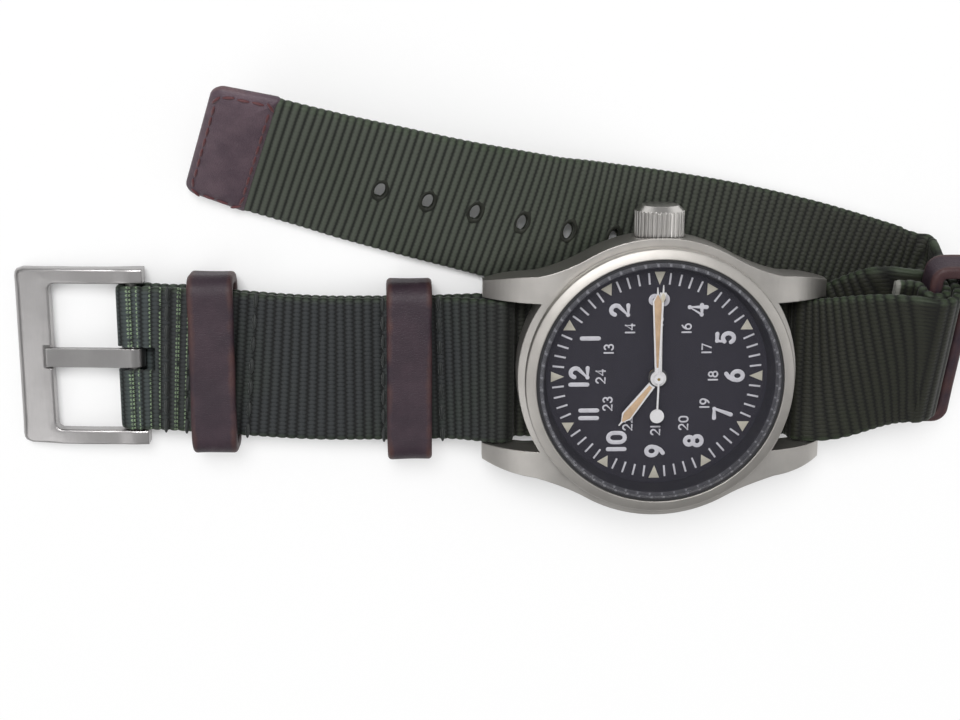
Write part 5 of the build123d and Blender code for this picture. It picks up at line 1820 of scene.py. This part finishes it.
def bow(x: float, y: float, wide: float, tall: float, start: float, end: float) -> list[Plan]:
    """Part of an oval.

    Args:
        x: Middle, across the glyph.
        y: Middle, up the glyph.
        wide: Half width.
        tall: Half height.
        start: First angle in degrees.
        end: Last angle.

    Returns:
        Places along it.
    """
    return [(x + wide * right, y + tall * up)
            for right, up in arc_run((0.0, 0.0), 1.0, start, end, 22)]


GLYPHS: dict[str, list[list[Plan]]] = {
    "0": [bow(0.5, 0.68, 0.5, 0.32, 0, 180) + bow(0.5, 0.32, 0.5, 0.32, 180, 360) + [(1.0, 0.68)]],
    "1": [[(0.5, 1.0), (0.5, 0.0)]],
    "2": [bow(0.5, 0.7, 0.48, 0.3, 165, -28) + [(0.0, 0.0), (1.0, 0.0)]],
    "3": [bow(0.48, 0.745, 0.42, 0.255, 150, -90) + bow(0.48, 0.265, 0.5, 0.265, 84, -155)],
    "4": [[(0.78, 0.0), (0.78, 1.0), (0.0, 0.28), (1.0, 0.28)]],
    "5": [[(0.92, 1.0), (0.18, 1.0), (0.1, 0.56)] + bow(0.48, 0.33, 0.5, 0.33, 122, -152)],
    "6": [[(0.72, 1.0), (0.36, 0.84), (0.1, 0.58)] + bow(0.5, 0.32, 0.48, 0.32, 180, 540)],
    "7": [[(0.0, 1.0), (1.0, 1.0), (0.36, 0.0)]],
    "8": [bow(0.5, 0.755, 0.42, 0.245, 270, 630), bow(0.5, 0.27, 0.5, 0.27, 90, 450)],
    "9": [[(0.28, 0.0), (0.64, 0.16), (0.9, 0.42)] + bow(0.5, 0.68, 0.48, 0.32, 0, 360)],
}


@dataclass
class DialPrint:
    """Numbers, minute marks and luminous triangles printed on the dial."""

    bench: Bench
    top: float
    large_radius: float = 10.5
    large_height: float = 2.85
    large_stroke: float = 0.58
    small_radius: float = 7.6
    small_height: float = 1.42
    small_stroke: float = 0.23
    glyph_share: float = 0.66
    gap_share: float = 0.11
    one_share: float = 1.3
    mark_radius: float = 13.38
    mark_length: float = 1.55
    mark_width: float = 0.25
    hour_wedge: Plan = (1.45, 1.65)
    hour_radius: float = 13.5
    quarter_wedge: Plan = (1.75, 1.45)
    quarter_radius: float = 13.4
    paint: float = 0.05

    def build(self) -> None:
        """Prints everything."""
        self._numbers("hour_numbers", range(1, 13), self.large_radius, self.large_height,
                      self.large_stroke)
        self._numbers("day_numbers", range(13, 25), self.small_radius, self.small_height,
                      self.small_stroke)
        long, wide = self.mark_length / 2, self.mark_width / 2
        self._ring("minute_marks", [(-long, -wide), (long, -wide), (long, wide), (-long, wide)],
                   self.mark_radius, 60, 5, True, PRINT)
        self._ring("hour_triangles", self._wedge(*self.hour_wedge), self.hour_radius, 12, 3,
                   True, LUME)
        self._ring("quarter_triangles", self._wedge(*self.quarter_wedge), self.quarter_radius,
                   4, 1, False, LUME)

    def _numbers(self, name: str, numbers: range, radius: float, height: float,
                 stroke: float) -> None:
        """Prints a ring of numbers, all upright to 12 o'clock.

        Args:
            name: The piece's name.
            numbers: The numbers, an hour apart.
            radius: Distance of their middles from the dial's.
            height: Their height.
            stroke: Width of their lines.
        """
        points, edges = [], []
        wide = height * self.glyph_share
        gap = height * self.gap_share
        for number in numbers:
            hour = math.radians(30 * number)
            middle = Vector((-math.cos(hour), math.sin(hour))) * radius
            text = str(number)
            widths = [stroke * self.one_share if digit == "1" else wide for digit in text]
            left = -(sum(widths) + gap * (len(text) - 1)) / 2
            for digit, width in zip(text, widths):
                for line in GLYPHS[digit]:
                    edges += chain(len(points), len(line))
                    points += [Vector((middle.x - (y - 0.5) * (height - stroke),
                                       middle.y + left + stroke / 2 + x * (width - stroke),
                                       self.top)) for x, y in line]
                left += width + gap
        piece = self.bench.mesh(name, points, [], PRINT, edges)
        flat = 2 * self.paint / stroke
        self.bench.strokes.run(piece, PRINT, Radius=stroke / 2 * MM, Flatness=flat,
                               Height=self.top * MM * (1 - flat))
        self.bench.keep(self.bench.smooth(piece, 60), Body.HEAD, Slot.PAINT)

    @staticmethod
    def _wedge(length: float, width: float) -> list[Plan]:
        """Outline of a triangle that points inwards."""
        return [(-length / 2, 0.0), (length / 2, -width / 2), (length / 2, width / 2)]

    def _ring(self, name: str, outline: list[Plan], radius: float, count: int, every: int,
              others: bool, finish: Finish) -> None:
        """Prints a thin raised mark round the dial, its edges eased.

        Args:
            name: The piece's name.
            outline: The mark's outline, with +X outwards.
            radius: Distance of the marks from the dial's middle.
            count: Places round the dial.
            every: Each so many-th place is chosen.
            others: Whether the places that aren't chosen get the mark instead.
            finish: The mark's finish.
        """
        middle = sum((Vector(place) for place in outline), Vector((0, 0))) / len(outline)
        points = []
        for share, height in ((1.0, 0.0), (1.0, 0.6), (0.9, 1.0)):
            for place in outline:
                spot = middle + (Vector(place) - middle) * share
                points.append(Vector((spot.x, spot.y, self.paint * height)))
        piece = self.bench.mesh(name, points, tube_faces(3, len(outline)), finish)
        self.bench.ring.run(piece, finish, Count=count, Radius=radius * MM, Every=every,
                            Others=others)
        piece.data.transform(Matrix.Translation((0, 0, self.top * MM)))
        self.bench.keep(self.bench.smooth(piece, 30), Body.HEAD, Slot.PAINT)


@dataclass
class HandFill:
    """Luminous fill of one hand, as an outline along the hand and half widths."""

    name: str
    body: Body
    node: str
    angle: float
    outline: tuple[Plan, ...]
    finish: Finish
    raised: float = 0.06
    inset: float = 0.07

    def build(self, bench: Bench) -> None:
        """Makes the fill, domed over its window.

        Args:
            bench: The bench that makes meshes.
        """
        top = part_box(self.node)[1][2] / MM
        turn = math.radians(self.angle)
        along = Vector((-math.cos(turn), math.sin(turn), 0))
        side = Vector((along.y, -along.x, 0))
        both = [Vector(place) for place in self.outline]
        both += [Vector((reach, -half)) for reach, half in reversed(self.outline)]
        middle = sum(both, Vector((0, 0))) / len(both)
        points = []
        for inset, height in ((0.0, 0.0), (0.0, 0.5), (self.inset, 1.0)):
            for place in both:
                spot = place - (place - middle).normalized() * inset
                points.append(along * spot.x + side * spot.y
                              + Vector((0, 0, top + self.raised * height)))
        piece = bench.mesh(self.name, points, tube_faces(3, len(both)), self.finish)
        bench.keep(bench.smooth(piece, 30), self.body, Slot.PAINT)


@dataclass
class Head:
    """Dresses the steel, glass and movement of the head, its dial and its hands."""

    bench: Bench
    nodes: dict[str, bpy.types.Object]
    slots: dict[str, str]
    case_round: float = 18.75
    case_clear: float = 20.5
    case_tall: float = 20.0
    lug_gap_half: float = 10.19
    bezel_profile: tuple[Plan, ...] = (
        (16.5, 7.65), (16.5, 8.93), (16.54, 8.98), (16.6, 9.0), (17.72, 8.79), (17.86, 8.7),
        (17.93, 8.55), (17.95, 8.4), (17.95, 7.35), (17.78, 7.28), (17.78, 7.05), (16.8, 7.05),
        (16.8, 6.15), (16.25, 6.15), (16.25, 7.65))
    bezel_steps: int = 360

    def build(self) -> None:
        """Gives every node its finish, then adds case, bezel, print and luminous fill."""
        for name, node in self.nodes.items():
            finish = NODE_FINISH.get(name, SLOT_FINISH[self.slots[name]])
            node.data.materials.clear()
            node.data.materials.append(finish.material())
            LOG.info("%s finished in %s", name, finish.name)
        self._case()
        self._bezel()
        DialPrint(self.bench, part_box("dial")[1][2] / MM).build()
        for fill in (
                HandFill("hour_fill", Body.HOUR, "hour_hand", 307.5,
                         ((1.5, 0.24), (6.6, 0.56), (7.6, 0.1)), HAND_LUME),
                HandFill("minute_fill", Body.MINUTE, "minute_hand", 88.0,
                         ((1.5, 0.24), (10.5, 0.48), (11.4, 0.08)), HAND_LUME),
                HandFill("seconds_fill", Body.SECONDS, "seconds_hand", 91.2,
                         ((10.5, 0.1), (11.0, 0.3), (11.3, 0.3), (11.7, 0.08)), SPADE_LUME)):
            fill.build(self.bench)

    def _case(self) -> None:
        """Rounds the case between its lugs, as a copy of its node cut to a circle."""
        mesh = self.nodes["case_middle"].data.copy()
        with reshaped(mesh) as form:
            bmesh.ops.remove_doubles(form, verts=form.verts, dist=1e-7)
        case = stand("round_case", mesh)
        half_turn = math.degrees(math.asin(self.lug_gap_half / self.case_round))
        outline = arc_run((0.0, 0.0), self.case_round, -half_turn, half_turn, half_turn / 24)
        outline += [(self.case_clear, self.lug_gap_half), (self.case_clear, -self.lug_gap_half)]
        for side in (1, -1):
            points = [Vector((side * x, y, z)) for z in (0.0, self.case_tall) for x, y in outline]
            cutter = self.bench.smooth(self.bench.mesh(
                "case_cutter", points, tube_faces(2, len(outline)), BLASTED))
            cut = case.modifiers.new("round", "BOOLEAN")
            cut.operation = "DIFFERENCE"
            cut.solver = "EXACT"
            cut.object = cutter
            settle(case)
            bpy.data.objects.remove(cutter)
        case.data.materials.clear()
        case.data.materials.append(BLASTED.material())
        for polygon in case.data.polygons:
            polygon.material_index = 0
        self.bench.weighted(self.bench.smooth(case, 25))
        self.bench.keep(case, Body.HEAD, Slot.STEEL, "case_middle")

    def _bezel(self) -> None:
        """Turns the bezel as a crisp flat ring, from its profile of radii and heights."""
        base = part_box("case_back")[0][2] / MM
        points = [Vector((r * math.cos(turn), r * math.sin(turn), base + height))
                  for turn in (math.tau * k / self.bezel_steps for k in range(self.bezel_steps))
                  for r, height in self.bezel_profile]
        faces = tube_faces(self.bezel_steps, len(self.bezel_profile), True)
        bezel = self.bench.mesh("flat_bezel", points, faces, BEZEL_STEEL)
        self.bench.weighted(self.bench.smooth(bezel, 25))
        self.bench.keep(bezel, Body.HEAD, Slot.STEEL, "bezel")


@dataclass
class Buckle:
    """Bowed frame of the buckle: two arms and a rounded bar with a rest for the tongue."""

    bench: Bench
    layout: Layout = Layout()
    left: float = -86.6
    bar: float = 4.8
    arm: float = 2.1
    inner_half: float = 10.2
    thick: float = 2.1
    bow: float = 0.45
    eye: float = 1.7
    corner: float = 1.1
    inner_corner: float = 0.9
    rest_half: float = 1.6
    rest_x: float = -83.0
    bar_edge: float = 0.95
    arm_edge: float = 0.3
    swell: float = 0.32
    swell_length: float = 2.4

    def _level(self, x: float) -> float:
        """Middle height of the bowed frame at an x."""
        nose = self.left + self.thick / 2
        share = (x - nose) / (self.layout.pin_x - nose)
        return blend(self.thick / 2, self.layout.pin_z, share) + self.bow * 4 * share * (1 - share)

    def _stations(self) -> list[tuple[Vector, Vector, float]]:
        """Outer and inner place and edge rounding of each section, from arm end to arm end.

        Returns:
            The sections.
        """
        end = self.layout.pin_x + self.eye
        outer_half, inner_x = self.inner_half + self.arm, self.left + self.bar
        corner_x = inner_x + self.inner_corner
        inner = Vector((corner_x, self.inner_half - self.inner_corner))
        tight = Vector((self.left + self.corner, outer_half - self.corner))
        half = [(Vector((x, outer_half)), Vector((x, self.inner_half)), self.arm_edge)
                for x in (blend(end, corner_x, k / 14) for k in range(14))]
        for k, out in enumerate(map(Vector, arc_run((0.0, 0.0), 1.0, 90, 180, 90 / 16))):
            reach = min((self.bar + self.inner_corner) / max(1e-6, -out.x),
                        (self.arm + self.inner_corner) / max(1e-6, out.y))
            far = inner + out * reach
            if far.x < tight.x and far.y > tight.y:
                far = tight + (far - tight).normalized() * self.corner
            half.append((far, inner + out * self.inner_corner,
                         blend(self.arm_edge, self.bar_edge, k / 16)))
        half += [(Vector((self.left, y)), Vector((inner_x, y)), self.bar_edge)
                 for y in (7.5, 5.0, 3.0, self.rest_half + 0.02, self.rest_half - 0.02, 0.0)]
        mirror = Vector((1, -1))
        return half + [(outer * mirror, inside * mirror, edge)
                       for outer, inside, edge in reversed(half[:-1])]

    def _section(self, width: float, edge: float) -> list[Plan]:
        """Section of the frame.

        Args:
            width: Its width.
            edge: Rounding of its outer edges.

        Returns:
            Distance in from the outer edge and height of each corner.
        """
        half, ring = self.thick / 2, []
        inner, inner_edge = width - self.arm_edge, self.arm_edge
        for x, y, radius, start in (
                (edge, half - edge, edge, 180), (0.74 * width, half, 0.0, 90),
                (0.75 * width, half, 0.0, 90), (inner, half - inner_edge, inner_edge, 90),
                (inner, inner_edge - half, inner_edge, 0), (edge, edge - half, edge, -90)):
            ring += arc_run((x, y), radius, start, start - 90, 18) if radius else [(x, y)]
        return ring

    def build(self) -> None:
        """Makes the frame, swollen round the pin and notched for the tongue."""
        points = []
        stations = self._stations()
        for outer, inner, edge in stations:
            across = (inner - outer).normalized()
            for share, height in self._section((inner - outer).length, edge):
                spot = outer + across * share
                near_pin = ease((spot.x - self.layout.pin_x + self.swell_length)
                                / self.swell_length)
                z = self._level(spot.x) + height * (1 + self.swell * near_pin)
                if abs(outer.y) < self.rest_half and spot.x > self.rest_x:
                    z = min(z, self.thick)
                points.append(Vector((spot.x, spot.y + self.layout.buckle_y, z)))
        faces = tube_faces(len(stations), len(points) // len(stations))
        frame = self.bench.mesh("bowed_buckle", points, faces, SATIN)
        self.bench.weighted(self.bench.smooth(frame, 40))
        self.bench.keep(frame, Body.BUCKLE, Slot.SATIN, "buckle_frame")


@dataclass
class Studio:
    """Camera at the photograph's angle, plain table and soft light."""

    place: Vector = field(default_factory=lambda: Vector((-33.371, 54.746, 222.019)))
    turn_axis: Vector = field(default_factory=lambda: Vector((0.2417012, 0.0442832, 0.0008725)))
    turn: float = -0.245725
    aim: Vector = field(default_factory=lambda: Vector((-20, 5, 0)))
    lens: float = 61.506
    sensor: float = 36.0
    table: float = 3000.0
    world_level: float = 0.42

    def build(self) -> None:
        """Sets the camera, the table and the lamps."""
        scene = bpy.context.scene
        scene.view_settings.view_transform = "Standard"
        self._camera(scene)
        self._table()
        self._world(scene)
        self._lamp("key", (-110, 320, 560), 260, 3.0)
        self._lamp("fill", (-380, -260, 360), 300, 0.5)
        self._lamp("side", (420, 40, 260), 260, 0.4)

    def _camera(self, scene: bpy.types.Scene) -> None:
        """Places the camera.

        Args:
            scene: The scene.
        """
        data = bpy.data.cameras.new("camera")
        data.sensor_width = self.sensor
        data.lens = self.lens
        data.clip_start = 0.005
        scene.camera = stand("camera", data)
        scene.camera.matrix_world = Matrix.LocRotScale(
            self.place * MM, Quaternion(self.turn_axis.normalized(), self.turn), None)

    def _table(self) -> None:
        """Lays the plain table."""
        half = self.table * MM
        mesh = bpy.data.meshes.new("table")
        mesh.from_pydata([(-half, -half, 0), (half, -half, 0), (half, half, 0), (-half, half, 0)],
                         [], [(0, 1, 2, 3)])
        mesh.materials.append(PaleTable("pale table").material())
        stand("table", mesh)

    def _world(self, scene: bpy.types.Scene) -> None:
        """Fills the surroundings with a soft pale light that is dimmer near the ground.

        Args:
            scene: The scene.
        """
        world = bpy.data.worlds.new("studio")
        world.use_nodes = True
        graph = Graph(world.node_tree)
        seen = graph.seen_by("Is Camera Ray")
        height = graph.node("ShaderNodeSeparateXYZ", {},
                            {0: graph.node("ShaderNodeTexCoord", {}, {}, "Generated")}, "Z")
        level = graph.span(height, -0.1, 0.9, 0.35, 1.0)
        colour = graph.node("ShaderNodeCombineColor", {}, {0: level, 1: level, 2: level})
        shade = graph.node("ShaderNodeBackground", {}, {
            "Color": graph.mix(seen, colour, WHITE),
            "Strength": seen * (1 - self.world_level) + self.world_level})
        graph.node("ShaderNodeOutputWorld", {}, {"Surface": shade})
        scene.world = world

    def _lamp(self, name: str, spot: Colour, size: float, power: float) -> None:
        """Hangs a square soft lamp that faces the watch.

        Args:
            name: The lamp's name.
            spot: Its place.
            size: Length of its side.
            power: Its power in watts.
        """
        data = bpy.data.lights.new(name, "AREA")
        data.size = size * MM
        data.energy = power
        place = Vector(spot)
        stand(name, data).matrix_world = Matrix.LocRotScale(
            place * MM, (self.aim - place).to_track_quat("-Z", "Y"), None)


def main() -> None:
    """Builds the dressed watch around the frame."""
    logging.basicConfig(level=logging.INFO, format="%(name)s: %(message)s")
    noise.seed_set(NOISE_SEED)
    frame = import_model()
    slots = {part["node"]: part["material_slot"] for part in frame["record"]["subparts"]}
    Studio().build()
    bench = Bench()
    Head(bench, frame["nodes"], slots).build()
    Buckle(bench).build()
    strap = Strap(bench)
    strap.build()
    Leatherwork(bench, strap).build()


if __name__ == "__main__":
    main()
